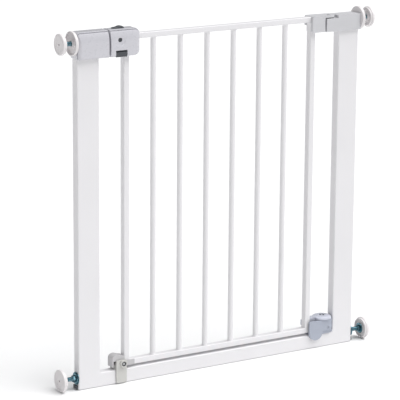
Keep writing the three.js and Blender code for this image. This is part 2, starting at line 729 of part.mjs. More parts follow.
// ---- Bottom catch -------------------------------------------------------------------------------
const catchLeft = -doorHalf - 22.5;
const catchScrewX = catchLeft + 16.5;
const catchScrewZ = frameRailHeight + 13;
const catchFront = frontPlate - catchPlate;

// Saddle clipped over the frame rail; its front plate stops the door and carries the screw boss.
function catchSaddle() {
  const right = catchLeft + catchWidth;
  const outline = roundedRectangle(catchLeft, 2, right, 2 + catchHeight, 3);
  const plate = frontPrism(outline, catchFront, frontPlate);
  const web = box([catchLeft, frontPlate - 1, saddleBottom], [right, -frontPlate + 3, saddleBottom + 3]);
  const back = box([catchLeft, -frontPlate, 12], [right, -frontPlate + 3, saddleBottom + 1]);
  const along = (y0, y1, radius, segments) =>
    rod([catchScrewX, y0, catchScrewZ], [catchScrewX, y1, catchScrewZ], radius, segments);
  const boss = along(catchFront - 4, frontPlate, 8.4, 28);
  const tongue = box([catchLeft + 1, frontPlate - 1, saddleBottom], [catchLeft + 8, -1, doorBottom + 8]);
  const seat = along(catchFront - 5, catchFront - 1, 5.3, 20);
  const hole = along(catchFront - 2, frontPlate + 1, 2.3, 16);
  return cut(join(plate, web, back, boss, tongue), seat, hole);
}

function catchScrew() {
  const seat = catchFront - 1 - touchGap;
  const along = (y0, y1, radius, segments) =>
    rod([catchScrewX, y0, catchScrewZ], [catchScrewX, y1, catchScrewZ], radius, segments);
  const head = along(seat - 2, seat, 4.9, 20);
  const shank = along(seat - 0.5, frontPlate - 0.2, 2, 16);
  const drive = along(seat - 3, seat - 0.8, 1.9, 6);
  return cut(join(head, shank), drive);
}

// Shoe on the door's latch corner: a hood that drops over the catch's tongue, and a wing in front.
function doorShoe() {
  const left = -doorHalf - shoeLength;
  const right = -doorHalf + 24;
  const top = doorBottom + shoeHeight;
  const depth = 10.4;
  const shape = new THREE.Shape();
  shape.moveTo(left, doorBottom + 0.4);
  shape.lineTo(-doorHalf - touchGap, doorBottom + 0.4);
  shape.lineTo(-doorHalf - touchGap, top - 5);
  shape.lineTo(left + 12, top);
  shape.quadraticCurveTo(left, top, left, top - 10);
  const hood = frontPrism(shape, -depth, depth);
  const wing = box([left + 20, -depth - 0.4, doorBottom + 0.4],
    [right, frontOfDoor - touchGap, doorBottom + doorRailHeight]);
  const mouth = box([left + 3, -depth - 1, doorBottom - 1], [catchLeft + 10, 4, doorBottom + 13]);
  const passage = box([left + 3, -depth - 1, doorBottom - 1], [left + 20, -4, doorBottom + 13]);
  return cut(join(hood, wing), mouth, passage);
}

// ---- Assembly -----------------------------------------------------------------------------------
for (const [sideName, side] of Object.entries(sides)) {
  addSolid(sideName + "_post", post(side), whiteEnamel);
  addSolid("foot_plug_" + sideName, footPlug(side), darkGrip);
  addSolid("washer_lower_" + sideName, washer(side), zinc);
  for (const [heightName, fixing] of Object.entries(fixings)) {
    const corner = heightName + "_" + sideName;
    addSolid("bushing_" + corner, bushing(side, fixing.z), zinc);
    addSolid("spindle_" + corner, spindle(side, fixing), zinc);
    addSolid("wall_cup_" + corner, wallCup(side, fixing), whitePlastic);
  }
  addSolid("hand_wheel_" + sideName, handWheel(side, upperSpindleZ), whitePlastic);
}
addSolid("bottom_rail", frameRail(), whiteEnamel);

const nutAtPost = halfFrame + touchGap + washerThickness + touchGap;
const nutAtCup = fixings.lower.cupBack - touchGap - nutLength;
addSolid("clamp_nut_left", clampNut(-1, lowerSpindleHeight, nutAtPost, true), zinc);
addSolid("clamp_nut_right", clampNut(1, lowerSpindleHeight, nutAtCup, false), zinc);

addSolid("door_top_rail", doorRail(topRailZ), whiteEnamel);
addSolid("door_bottom_rail", doorRail(doorBottom), whiteEnamel);
addSolid("latch_stile", stile(-1), whiteEnamel);
addSolid("hinge_stile", stile(1), whiteEnamel);
for (let i = 0; i < barCount; i += 1) {
  addSolid("bar_" + (i + 1), bar(i), whiteEnamel);
}

addSolid("keeper_front", keeper("front"), greyShell);
addSolid("keeper_rear", keeper("rear"), greyShell);
addSolid("strike_plate", strikePlate(), steel);
keeperScrewHeights.forEach((z, i) => {
  addSolid("keeper_screw_" + (i + 1), keeperScrew(z), steel);
});
addSolid("handle_front", handle("front"), greyShell);
addSolid("handle_rear", handle("rear"), greyShell);
addSolid("handle_screw", handleScrew(), darkGrip);
addSolid("bolt_guide", boltGuide(), steel);
addSolid("thumb_slider", thumbSlider(), darkGrip);
addSolid("latch_bolt", latchBolt(), steel);
addPiece("bolt_spring", boltSpring(), steel);
addSolid("trigger", trigger(), darkGrip);
addPiece("trigger_spring", triggerSpring(), steel);

addSolid("hinge_arm", hingeArm(), greyShell);
addSolid("hinge_bracket", hingeBracket(), greyShell);
addSolid("hinge_pin", hingePin(), steel);
addSolid("hinge_saddle", hingeSaddle(), hingeGrey);
addSolid("saddle_cap", saddleCap(), hingeGrey);
addSolid("hinge_shaft", hingeShaft(), steel);
addPiece("closer_spring", closerSpring(), steel);
addSolid("hinge_dome", hingeDome(), hingeGrey);
addSolid("dome_screw", domeScrew(), zinc);

addSolid("catch_saddle", catchSaddle(), catchGrey);
addSolid("catch_screw", catchScrew(), darkGrip);
addSolid("door_shoe", doorShoe(), catchGrey);

export default gate;
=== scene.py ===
"""Looks of a pressure-fit safety gate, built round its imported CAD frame.

Sizes are millimetres in the classes and become metres when a piece is made.
+X runs along the gate to the hinge side, +Y to the back, +Z up, with the floor at 0.
"""

import json
import logging
import math
from dataclasses import dataclass, field
from enum import Enum

import bmesh
import bpy
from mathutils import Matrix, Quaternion, Vector

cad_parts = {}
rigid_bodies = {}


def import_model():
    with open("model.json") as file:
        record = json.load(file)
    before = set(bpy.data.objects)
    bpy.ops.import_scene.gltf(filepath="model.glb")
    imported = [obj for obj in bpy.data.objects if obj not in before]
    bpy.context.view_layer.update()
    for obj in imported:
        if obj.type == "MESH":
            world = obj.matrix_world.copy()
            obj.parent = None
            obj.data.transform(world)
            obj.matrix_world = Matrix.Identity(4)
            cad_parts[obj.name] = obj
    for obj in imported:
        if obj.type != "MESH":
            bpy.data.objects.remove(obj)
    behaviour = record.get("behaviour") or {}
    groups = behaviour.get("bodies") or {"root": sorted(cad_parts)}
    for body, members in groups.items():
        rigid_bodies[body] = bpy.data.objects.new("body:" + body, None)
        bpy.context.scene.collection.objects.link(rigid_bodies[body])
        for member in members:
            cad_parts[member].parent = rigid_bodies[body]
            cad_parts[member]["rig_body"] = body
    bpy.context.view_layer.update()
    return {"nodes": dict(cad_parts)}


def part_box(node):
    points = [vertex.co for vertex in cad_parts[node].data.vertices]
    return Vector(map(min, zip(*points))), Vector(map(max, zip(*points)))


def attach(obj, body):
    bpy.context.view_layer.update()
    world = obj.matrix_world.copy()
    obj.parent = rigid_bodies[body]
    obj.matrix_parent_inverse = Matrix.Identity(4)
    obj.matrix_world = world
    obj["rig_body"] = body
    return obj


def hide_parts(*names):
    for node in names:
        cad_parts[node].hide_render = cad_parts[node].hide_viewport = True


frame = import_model()

MM = 0.001
OVERCUT = 1.0  # how far a cutting tool runs past the face that it opens
MERGE = 2e-6  # metres; corners nearer than this are one corner
FLAT_ANGLE = 0.6  # degrees; faces nearer than this to one plane become one face
ROUNDED_CREASE = 50.0  # degrees; edges sharper than this stay sharp on a rounded piece
PLAIN_CREASE = 38.0  # the same on a piece that isn't rounded
log = logging.getLogger("gate")

Piece = bpy.types.Object
Loop = list[Vector]
Colour = tuple[float, float, float]
Corner = tuple[float, float, float]


class Axis(Enum):
    """The axis that a turned piece is made round."""

    X = "x"
    Y = "y"
    Z = "z"

    def point(self, along: float, radius: float, angle: float) -> Vector:
        """A point at a distance along the axis and a radius and angle round it.

        Args:
            along: Distance along the axis.
            radius: Distance from the axis.
            angle: Angle round it, in radians.

        Returns:
            The point.
        """
        across, up = radius * math.cos(angle), radius * math.sin(angle)
        if self is Axis.X:
            return Vector((along, across, up))
        if self is Axis.Y:
            return Vector((across, along, up))
        return Vector((across, up, along))


class Side(Enum):
    """The two ends of the gate."""

    LEFT = -1
    RIGHT = 1

    @property
    def word(self) -> str:
        """The word used in node names."""
        return self.name.lower()


class Half(Enum):
    """The two shells of a housing."""

    FRONT = -1
    REAR = 1

    @property
    def word(self) -> str:
        """The word used in node names."""
        return self.name.lower()


# ---- Finishes ------------------------------------------------------------------------------------
class NodeSheet:
    """The node tree of one material, with short calls for what the finishes share."""

    def __init__(self, name: str) -> None:
        """Starts a material that holds a Principled shader and object coordinates.

        Args:
            name: Name of the material.
        """
        self.material = bpy.data.materials.new(name)
        self.material.use_nodes = True
        self.tree = self.material.node_tree
        self.shader = self.tree.nodes["Principled BSDF"]
        self.place = self.tree.nodes.new("ShaderNodeTexCoord").outputs["Object"]

    def set(self, **values: object) -> None:
        """Sets sockets of the shader; an underscore stands for a space."""
        for label, value in values.items():
            self.shader.inputs[label.replace("_", " ")].default_value = value

    def noise(self, scale: float, detail: float = 2.0, stretch: Vector | None = None) -> bpy.types.NodeSocket:
        """A noise pattern on object coordinates.

        Args:
            scale: Waves per metre.
            detail: Octaves of the noise.
            stretch: Scale of each axis, for brushed or drawn marks.

        Returns:
            The socket with the pattern, about 0.3 to 0.7.
        """
        pattern = self.tree.nodes.new("ShaderNodeTexNoise")
        pattern.inputs["Scale"].default_value = scale
        pattern.inputs["Detail"].default_value = detail
        place = self.place
        if stretch is not None:
            mapping = self.tree.nodes.new("ShaderNodeMapping")
            mapping.inputs["Scale"].default_value = stretch
            self.tree.links.new(place, mapping.inputs["Vector"])
            place = mapping.outputs["Vector"]
        self.tree.links.new(place, pattern.inputs["Vector"])
        return pattern.outputs["Fac"]

    def spread(self, pattern: bpy.types.NodeSocket, low: float, high: float) -> bpy.types.NodeSocket:
        """Stretches a noise pattern from low to high.

        Args:
            pattern: The noise.
            low: Value at its low end.
            high: Value at its high end.

        Returns:
            The socket with the stretched pattern.
        """
        ramp = self.tree.nodes.new("ShaderNodeMapRange")
        ramp.inputs["From Min"].default_value = 0.3
        ramp.inputs["From Max"].default_value = 0.7
        ramp.inputs["To Min"].default_value = low
        ramp.inputs["To Max"].default_value = high
        self.tree.links.new(pattern, ramp.inputs["Value"])
        return ramp.outputs["Result"]

    def tint(self, pattern: bpy.types.NodeSocket, first: Colour, second: Colour) -> None:
        """Varies the base colour between two colours by a pattern.

        Args:
            pattern: The noise.
            first: Colour at its low end.
            second: Colour at its high end.
        """
        mix = self.tree.nodes.new("ShaderNodeMix")
        mix.data_type = "RGBA"
        colours = [s for s in mix.inputs if s.type == "RGBA"]
        colours[0].default_value = (*first, 1.0)
        colours[1].default_value = (*second, 1.0)
        self.tree.links.new(self.spread(pattern, 0.0, 1.0), mix.inputs[0])
        result = next(s for s in mix.outputs if s.type == "RGBA")
        self.tree.links.new(result, self.shader.inputs["Base Color"])

    def gloss(self, pattern: bpy.types.NodeSocket, low: float, high: float) -> None:
        """Varies the roughness between two values by a pattern."""
        self.tree.links.new(self.spread(pattern, low, high), self.shader.inputs["Roughness"])

    def relief(self, *layers: tuple[bpy.types.NodeSocket, float, float]) -> None:
        """Adds bump layers, each a pattern, a strength and a height in millimetres.

        Args:
            layers: The layers, from the bottom up.
        """
        previous = None
        for pattern, strength, height in layers:
            bump = self.tree.nodes.new("ShaderNodeBump")
            bump.inputs["Strength"].default_value = strength
            bump.inputs["Distance"].default_value = height * MM
            self.tree.links.new(pattern, bump.inputs["Height"])
            if previous is not None:
                self.tree.links.new(previous, bump.inputs["Normal"])
            previous = bump.outputs["Normal"]
        self.tree.links.new(previous, self.shader.inputs["Normal"])


def shade(colour: Colour, factor: float) -> Colour:
    """A colour made lighter or darker."""
    return tuple(min(1.0, channel * factor) for channel in colour)


@dataclass(frozen=True)
class Finish:
    """What one material slot of the gate looks like."""

    slot: str
    colour: Colour
    label: str = ""

    def draw(self, sheet: NodeSheet) -> None:
        """Fills in the material; each kind of finish has its own."""
        raise NotImplementedError

    def material(self) -> bpy.types.Material:
        """The material, made once.

        Returns:
            The material.
        """
        name = "finish_" + (self.label or self.slot)
        known = bpy.data.materials.get(name)
        if known is not None:
            return known
        sheet = NodeSheet(name)
        sheet.set(Base_Color=(*self.colour, 1.0))
        self.draw(sheet)
        return sheet.material


@dataclass(frozen=True)
class PowderCoat(Finish):
    """Baked white coat on steel tube, with a fine orange-peel skin."""

    roughness: float = 0.36
    drift_scale: float = 7.0
    gloss_scale: float = 60.0
    peel_scale: float = 520.0
    peel_height: float = 0.05
    wave_scale: float = 38.0
    wave_height: float = 0.12

    def draw(self, sheet: NodeSheet) -> None:
        """Fills in the coat's colour drift, gloss and orange peel.

        Args:
            sheet: The node sheet of the material.
        """
        sheet.tint(sheet.noise(self.drift_scale, 3.0), shade(self.colour, 0.985), shade(self.colour, 1.012))
        sheet.gloss(sheet.noise(self.gloss_scale, 3.0), self.roughness - 0.05, self.roughness + 0.07)
        sheet.relief(
            (sheet.noise(self.peel_scale, 2.0), 0.22, self.peel_height),
            (sheet.noise(self.wave_scale, 1.0), 0.1, self.wave_height),
        )
        sheet.set(Coat_Weight=0.18, Coat_Roughness=0.22)


@dataclass(frozen=True)
class MouldedPlastic(Finish):
    """Moulded plastic with a spark-eroded grain and faint flow marks."""

    roughness: float = 0.45
    grain_scale: float = 1700.0
    grain_height: float = 0.03
    flow_scale: float = 26.0
    gloss_scale: float = 180.0
    wave_scale: float = 45.0
    wave_height: float = 0.1
    flow: float = 0.03
    coat: float = 0.0

    def draw(self, sheet: NodeSheet) -> None:
        """Fills in the flow marks, gloss and grain.

        Args:
            sheet: The node sheet of the material.
        """
        drift = sheet.noise(self.flow_scale, 3.0, Vector((0.5, 1.0, 1.3)))
        sheet.tint(drift, shade(self.colour, 1 - self.flow), shade(self.colour, 1 + self.flow))
        sheet.gloss(sheet.noise(self.gloss_scale, 3.0), self.roughness - 0.06, self.roughness + 0.06)
        sheet.relief(
            (sheet.noise(self.grain_scale, 3.0), 0.16, self.grain_height),
            (sheet.noise(self.wave_scale, 1.0), 0.08, self.wave_height),
        )
        sheet.set(Coat_Weight=self.coat, Coat_Roughness=0.18)


@dataclass(frozen=True)
class PlatedSteel(Finish):
    """Steel with a thin plated skin whose tint drifts, and turning marks round it."""

    second: Colour = (0.7, 0.7, 0.7)
    roughness: float = 0.28
    drift_scale: float = 95.0
    gloss_scale: float = 420.0
    mark_scale: float = 2600.0
    mark_height: float = 0.02
    marks: Vector = field(default_factory=lambda: Vector((1.0, 0.15, 0.15)))

    def draw(self, sheet: NodeSheet) -> None:
        """Fills in the plating's drift, gloss and tool marks.

        Args:
            sheet: The node sheet of the material.
        """
        sheet.set(Metallic=1.0)
        sheet.tint(sheet.noise(self.drift_scale, 2.0), self.colour, self.second)
        sheet.gloss(sheet.noise(self.gloss_scale, 3.0), self.roughness - 0.08, self.roughness + 0.12)
        sheet.relief((sheet.noise(self.mark_scale, 2.0, self.marks), 0.25, self.mark_height))


WHITE_ENAMEL = PowderCoat("white_enamel", (0.80, 0.79, 0.805))
GREY_SHELL = MouldedPlastic("grey_shell", (0.58, 0.575, 0.615), roughness=0.3, flow=0.015, coat=1.0)
BRACKET_SHELL = MouldedPlastic("grey_shell", (0.60, 0.60, 0.62), label="bracket_shell", roughness=0.36)
HINGE_GREY = MouldedPlastic("hinge_grey", (0.40, 0.43, 0.505), roughness=0.36)
DOME_GREY = MouldedPlastic("hinge_grey", (0.60, 0.62, 0.71), label="dome_grey", roughness=0.28, coat=0.8)
CATCH_GREY = MouldedPlastic("catch_grey", (0.59, 0.585, 0.56), roughness=0.42)
SHOE_GREY = MouldedPlastic("catch_grey", (0.54, 0.53, 0.54), label="shoe_grey", roughness=0.4, flow=0.06)
# Also used on the catch's screw washer and the handle's screw, where its darkness is painted shade.
DARK_GRIP = MouldedPlastic(
    "dark_grip", (0.07, 0.075, 0.085), roughness=0.5, grain_scale=900.0, grain_height=0.08, flow=0.1
)
WHITE_PLASTIC = MouldedPlastic("white_plastic", (0.80, 0.77, 0.775), roughness=0.42, flow=0.015)
ZINC = PlatedSteel("zinc", (0.06, 0.15, 0.19), second=(0.20, 0.34, 0.40), roughness=0.2)
# Near-black zinc for the washer under the dome's screw: painted shade for the recess round the screw head.
RECESS_SHADE_ZINC = PlatedSteel(
    "zinc", (0.045, 0.05, 0.065), label="dark_zinc", second=(0.09, 0.10, 0.12), roughness=0.35
)
STEEL = PlatedSteel("steel", (0.50, 0.51, 0.53), second=(0.60, 0.60, 0.59), roughness=0.3)


# ---- Making meshes -------------------------------------------------------------------------------
def skin(name: str, points: Loop, faces: list[list[int]]) -> Piece:
    """One closed mesh from points in millimetres, with doubles merged and faces turned outwards.

    Args:
        name: Name of the piece.
        points: Corners in millimetres.
        faces: Corner numbers of each face.

    Returns:
        The object, at the origin.
    """
    draft = bmesh.new()
    corners = [draft.verts.new(point * MM) for point in points]
    for face in faces:
        draft.faces.new([corners[i] for i in face])
    bmesh.ops.remove_doubles(draft, verts=draft.verts, dist=MERGE / 2)
    bmesh.ops.recalc_face_normals(draft, faces=draft.faces)
    mesh = bpy.data.meshes.new(name)
    draft.to_mesh(mesh)
    draft.free()
    piece = bpy.data.objects.new(name, mesh)
    bpy.context.scene.collection.objects.link(piece)
    return piece


def loft(name: str, loops: list[Loop], closed: bool = False) -> Piece:
    """Skins a row of equal loops.

    Args:
        name: Name of the piece.
        loops: Loops with the same number of points.
        closed: True if the row meets itself, otherwise its two ends are capped.

    Returns:
        The object.
    """
    count = len(loops[0])
    rows = list(range(len(loops)))
    pairs = list(zip(rows, rows[1:])) + ([(rows[-1], 0)] if closed else [])
    faces = [
        [low * count + i, low * count + (i + 1) % count, high * count + (i + 1) % count, high * count + i]
        for low, high in pairs
        for i in range(count)
    ]
    if not closed:
        faces.append(list(range(count)))
        faces.append([rows[-1] * count + i for i in range(count)])
    return skin(name, [point for loop in loops for point in loop], faces)


def turned(
    name: str,
    profile: list[tuple[float, float]],
    axis: Axis,
    centre: Vector,
    side: int = 1,
    segments: int = 72,
    closed: bool = False,
) -> Piece:
    """A piece turned from a profile.

    Args:
        name: Name of the piece.
        profile: Distance along the axis and radius of each point.
        axis: Axis of the turning.
        centre: Where distance 0 lies.
        side: 1 if the profile runs towards +, -1 towards -.
        segments: Faces round the piece.
        closed: True for a ring whose profile meets itself.

    Returns:
        The object.
    """
    angles = [2 * math.pi * i / segments for i in range(segments)]
    loops = [[centre + axis.point(side * along, radius, a) for a in angles] for along, radius in profile]
    return loft(name, loops, closed)


def rod(name: str, start: Vector, axis: Axis, length: float, radius: float, segments: int = 48) -> Piece:
    """A plain round bar from start along an axis."""
    return turned(name, [(0.0, radius), (length, radius)], axis, start, 1, segments)


def block(name: str, low: Corner, high: Corner) -> Piece:
    """A box between two corners.

    Args:
        name: Name of the piece.
        low: The corner with the lowest coordinates.
        high: The opposite corner.

    Returns:
        The object.
    """
    loops = [
        [Vector((low[0], low[1], z)), Vector((high[0], low[1], z)), Vector((high[0], high[1], z)),
         Vector((low[0], high[1], z))]
        for z in (low[2], high[2])
    ]
    return loft(name, loops)


@dataclass(frozen=True)
class Outline:
    """A rounded rectangle across X and Z, with a radius for each corner from the lower left round."""

    left: float
    bottom: float
    right: float
    top: float
    corners: tuple[float, float, float, float] = (1.0, 1.0, 1.0, 1.0)

    def inset(self, left: float, bottom: float, right: float, top: float) -> "Outline":
        """The outline drawn in by a distance on each side.

        Args:
            left: Distance at the left.
            bottom: Distance at the bottom.
            right: Distance at the right.
            top: Distance at the top.

        Returns:
            The smaller outline.
        """
        cuts = (min(left, bottom), min(right, bottom), min(right, top), min(left, top))
        corners = tuple(max(0.5, radius - cut) for radius, cut in zip(self.corners, cuts))
        return Outline(self.left + left, self.bottom + bottom, self.right - right, self.top - top, corners)

    def plan(self, steps: int = 8) -> list[tuple[float, float]]:
        """The points round the outline.

        Args:
            steps: Faces round each corner.

        Returns:
            X and Z of each point.
        """
        centres = (
            (self.left, self.bottom, 1, 1, math.pi),
            (self.right, self.bottom, -1, 1, 1.5 * math.pi),
            (self.right, self.top, -1, -1, 0.0),
            (self.left, self.top, 1, -1, 0.5 * math.pi),
        )
        points = []
        for (x, z, to_right, up, start), radius in zip(centres, self.corners):
            for i in range(steps + 1):
                angle = start + 0.5 * math.pi * i / steps
                points.append((
                    x + to_right * radius + radius * math.cos(angle),
                    z + up * radius + radius * math.sin(angle),
                ))
        return points

    def at(self, y: float, steps: int = 8) -> Loop:
        """The outline as a loop at a depth."""
        return [Vector((x, y, z)) for x, z in self.plan(steps)]


def baked(piece: Piece) -> Piece:
    """Turns the piece's modifiers into plain mesh.

    Args:
        piece: The piece.

    Returns:
        The piece, with no modifiers left.
    """
    graph = bpy.context.evaluated_depsgraph_get()
    mesh = bpy.data.meshes.new_from_object(piece.evaluated_get(graph))
    piece.modifiers.clear()
    old, piece.data = piece.data, mesh
    mesh.name = piece.name
    bpy.data.meshes.remove(old)
    return piece


def combined(piece: Piece, others: list[Piece], operation: str) -> Piece:
    """Cuts the others from the piece, or joins them to it.

    Args:
        piece: The piece that stays.
        others: Pieces that are used up.
        operation: DIFFERENCE, UNION or INTERSECT.

    Returns:
        The piece.
    """
    for other in others:
        step = piece.modifiers.new(other.name, "BOOLEAN")
        step.operation = operation
        step.solver = "EXACT"
        step.object = other
    baked(piece)
    for other in others:
        bpy.data.objects.remove(other)
    return piece


def cut(piece: Piece, *tools: Piece) -> Piece:
    """Cuts tools from a piece."""
    return combined(piece, list(tools), "DIFFERENCE")


def joined(piece: Piece, *others: Piece) -> Piece:
    """Joins others to a piece."""
    return combined(piece, list(others), "UNION")


def softened(piece: Piece, width: float, segments: int = 3, angle: float = 30.0) -> Piece:
    """Rounds a piece's sharp edges and shades the rest smooth.

    Args:
        piece: The piece.
        width: Width of the rounding in millimetres, or 0 for none.
        segments: Faces across the rounding.
        angle: Edges sharper than this many degrees are rounded.

    Returns:
        The piece.
    """
    draft = bmesh.new()
    draft.from_mesh(piece.data)
    bmesh.ops.remove_doubles(draft, verts=draft.verts, dist=MERGE)
    bmesh.ops.dissolve_limit(
        draft, angle_limit=math.radians(FLAT_ANGLE), verts=draft.verts, edges=draft.edges,
        use_dissolve_boundaries=False,
    )
    draft.to_mesh(piece.data)
    draft.free()
    piece.data.shade_smooth()
    if width:
        bevel = piece.modifiers.new("rounding", "BEVEL")
        bevel.width = width * MM
        bevel.segments = segments
        bevel.limit_method = "ANGLE"
        bevel.angle_limit = math.radians(angle)
        bevel.miter_outer = "MITER_ARC"
    normals = piece.modifiers.new("normals", "WEIGHTED_NORMAL")
    normals.weight = 80
    normals.keep_sharp = True
    piece.data.set_sharp_from_angle(angle=math.radians(ROUNDED_CREASE if width else PLAIN_CREASE))
    return baked(piece)


def copy_of(node: str, name: str) -> Piece:
    """A merged copy of a CAD node's mesh.

    Args:
        node: Name of the CAD node.
        name: Name of the copy.

    Returns:
        The copy.
    """
    source = frame["nodes"][node]
    piece = bpy.data.objects.new(name, source.data.copy())
    bpy.context.scene.collection.objects.link(piece)
    draft = bmesh.new()
    draft.from_mesh(piece.data)
    bmesh.ops.remove_doubles(draft, verts=draft.verts, dist=2 * MERGE)
    draft.to_mesh(piece.data)
    draft.free()
    piece.data.materials.clear()
    return piece


def body_of(node: str) -> str:
    """The name of the moving body that a CAD node belongs to."""
    return frame["nodes"][node]["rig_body"]


def hand_over(piece: Piece, finish: Finish, *nodes: str) -> Piece:
    """Dresses a finished piece and lets it ride in place of its CAD nodes.

    Args:
        piece: The finished piece, at the origin.
        finish: Its finish.
        nodes: The CAD nodes that it stands for.

    Returns:
        The piece.
    """
    piece.data.materials.clear()
    piece.data.materials.append(finish.material())
    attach(piece, body_of(nodes[0]))
    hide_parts(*nodes)
    log.info("%s: %d faces, stands for %s", piece.name, len(piece.data.polygons), ", ".join(nodes))
    return piece


def redress(finish: Finish, *nodes: str) -> None:
    """Gives CAD nodes that stay a finish.

    Args:
        finish: The finish.
        nodes: Names of the CAD nodes.
    """
    for node in nodes:
        for slot in frame["nodes"][node].material_slots:
            slot.material = finish.material()
        log.info("%s: CAD mesh kept, %s", node, finish.slot)


def rounded_copies(finish: Finish, width: float, *nodes: str) -> None:
    """Replaces CAD nodes with copies whose edges are rounded by a width in millimetres."""
    for node in nodes:
        hand_over(softened(copy_of(node, node + "_skin"), width, 2), finish, node)


# ---- Geometry Nodes ------------------------------------------------------------------------------
Value = float | int | bpy.types.NodeSocket


class ShapeTree:
    """A Geometry Nodes tree with named sizes, run on one piece and turned into its mesh."""

    def __init__(self, name: str, *sizes: str) -> None:
        """Starts a tree.

        Args:
            name: Name of the tree.
            sizes: Names of its sizes, each a number.
        """
        self.group = bpy.data.node_groups.new(name, "GeometryNodeTree")
        face = self.group.interface
        face.new_socket("Base", in_out="INPUT", socket_type="NodeSocketGeometry")
        face.new_socket("Shape", in_out="OUTPUT", socket_type="NodeSocketGeometry")
        self.keys = {
            label: face.new_socket(label, in_out="INPUT", socket_type="NodeSocketFloat").identifier
            for label in sizes
        }
        finish = face.new_socket("Finish", in_out="INPUT", socket_type="NodeSocketMaterial")
        self.keys["Finish"] = finish.identifier
        self.source = self.group.nodes.new("NodeGroupInput")
        self.sink = self.group.nodes.new("NodeGroupOutput")

    def size(self, label: str) -> bpy.types.NodeSocket:
        """The socket of a named size."""
        return self.source.outputs[label]

    def node(
        self, kind: str, inputs: dict[str | int, Value] | None = None, **settings: object
    ) -> bpy.types.Node:
        """Adds a node.

        Args:
            kind: Blender's name for the node type.
            inputs: A value or a socket for each input, by its name or number.
            settings: Properties of the node.

        Returns:
            The node.
        """
        made = self.group.nodes.new(kind)
        for label, value in settings.items():
            setattr(made, label, value)
        for label, value in (inputs or {}).items():
            if isinstance(value, bpy.types.NodeSocket):
                self.group.links.new(value, made.inputs[label])
            else:
                made.inputs[label].default_value = value
        return made

    def maths(self, operation: str, first: Value, second: Value = 0.0) -> bpy.types.NodeSocket:
        """The result of a sum on two values."""
        return self.node("ShaderNodeMath", {0: first, 1: second}, operation=operation).outputs[0]

    def vector(self, x: Value, y: Value, z: Value) -> bpy.types.NodeSocket:
        """A vector from three values."""
        return self.node("ShaderNodeCombineXYZ", {0: x, 1: y, 2: z}).outputs[0]

    def position(self) -> tuple[bpy.types.NodeSocket, ...]:
        """The three coordinates of each point."""
        place = self.node("GeometryNodeInputPosition").outputs[0]
        return tuple(self.node("ShaderNodeSeparateXYZ", {0: place}).outputs)

    def finish_with(self, geometry: bpy.types.NodeSocket) -> "ShapeTree":
        """Ends the tree: instances become mesh, are shaded smooth and get the finish.

        Args:
            geometry: The geometry to end with.

        Returns:
            The tree.
        """
        mesh = self.node("GeometryNodeRealizeInstances", {0: geometry}).outputs[0]
        smooth = self.node("GeometryNodeSetShadeSmooth", {0: mesh}).outputs[0]
        dressed = self.node("GeometryNodeSetMaterial", {0: smooth, "Material": self.source.outputs["Finish"]})
        self.group.links.new(dressed.outputs[0], self.sink.inputs[0])
        return self

    def run(self, piece: Piece, finish: Finish, **sizes: float) -> Piece:
        """Runs the tree on a piece and keeps the result as its mesh.

        Args:
            piece: The piece; its mesh is the tree's base.
            finish: The finish of the result.
            sizes: A value for each named size; an underscore stands for a space.

        Returns:
            The piece.
        """
        step = piece.modifiers.new(self.group.name, "NODES")
        step.node_group = self.group
        step[self.keys["Finish"]] = finish.material()
        for label, value in sizes.items():
            step[self.keys[label.replace("_", " ")]] = float(value)
        return baked(piece)


def empty_piece(name: str) -> Piece:
    """A piece with no mesh yet, for a tree to fill.

    Args:
        name: Name of the piece.

    Returns:
        The object.
    """
    piece = bpy.data.objects.new(name, bpy.data.meshes.new(name))
    bpy.context.scene.collection.objects.link(piece)
    return piece


def bar_row_tree() -> ShapeTree:
    """A row of upright round bars that flare into a small weld at both ends.

    Returns:
        The tree.
    """
    tree = ShapeTree(
        "bar_row", "Count", "First", "Pitch", "Diameter", "Bottom", "Top", "Weld height", "Weld flare")
    bottom, top = tree.size("Bottom"), tree.size("Top")
    line = tree.node("GeometryNodeCurvePrimitiveLine", {
        "Start": tree.vector(0.0, 0.0, bottom), "End": tree.vector(0.0, 0.0, top),
    })
    dense = tree.node("GeometryNodeResampleCurve", {"Curve": line.outputs[0], "Count": 84})
    share = tree.node("GeometryNodeSplineParameter").outputs["Factor"]
    swing = tree.maths("COSINE", tree.maths("MULTIPLY", share, math.pi))
    eased = tree.maths("SUBTRACT", 0.5, tree.maths("MULTIPLY", swing, 0.5))
    height = tree.maths("ADD", bottom, tree.maths("MULTIPLY", tree.maths("SUBTRACT", top, bottom), eased))
    placed = tree.node("GeometryNodeSetPosition", {
        "Geometry": dense.outputs[0], "Position": tree.vector(0.0, 0.0, height),
    })
    z = tree.position()[2]
    reach = tree.maths("MINIMUM", tree.maths("SUBTRACT", z, bottom), tree.maths("SUBTRACT", top, z))
    flare = tree.node("ShaderNodeMapRange", {
        "Value": reach, "From Min": 0.0, "From Max": tree.size("Weld height"),
        "To Min": tree.size("Weld flare"), "To Max": 1.0,
    }, interpolation_type="SMOOTHERSTEP")
    section = tree.node("GeometryNodeCurvePrimitiveCircle", {
        "Resolution": 32, "Radius": tree.maths("MULTIPLY", tree.size("Diameter"), 0.5),
    })
    bar = tree.node("GeometryNodeCurveToMesh", {
        "Curve": placed.outputs[0], "Profile Curve": section.outputs[0],
        "Scale": flare.outputs[0], "Fill Caps": True,
    })
    row = tree.node("GeometryNodeMeshLine", {
        "Count": tree.size("Count"), "Start Location": tree.vector(tree.size("First"), 0.0, 0.0),
        "Offset": tree.vector(tree.size("Pitch"), 0.0, 0.0),
    })
    bars = tree.node("GeometryNodeInstanceOnPoints", {"Points": row.outputs[0], "Instance": bar.outputs[0]})
    return tree.finish_with(bars.outputs[0])


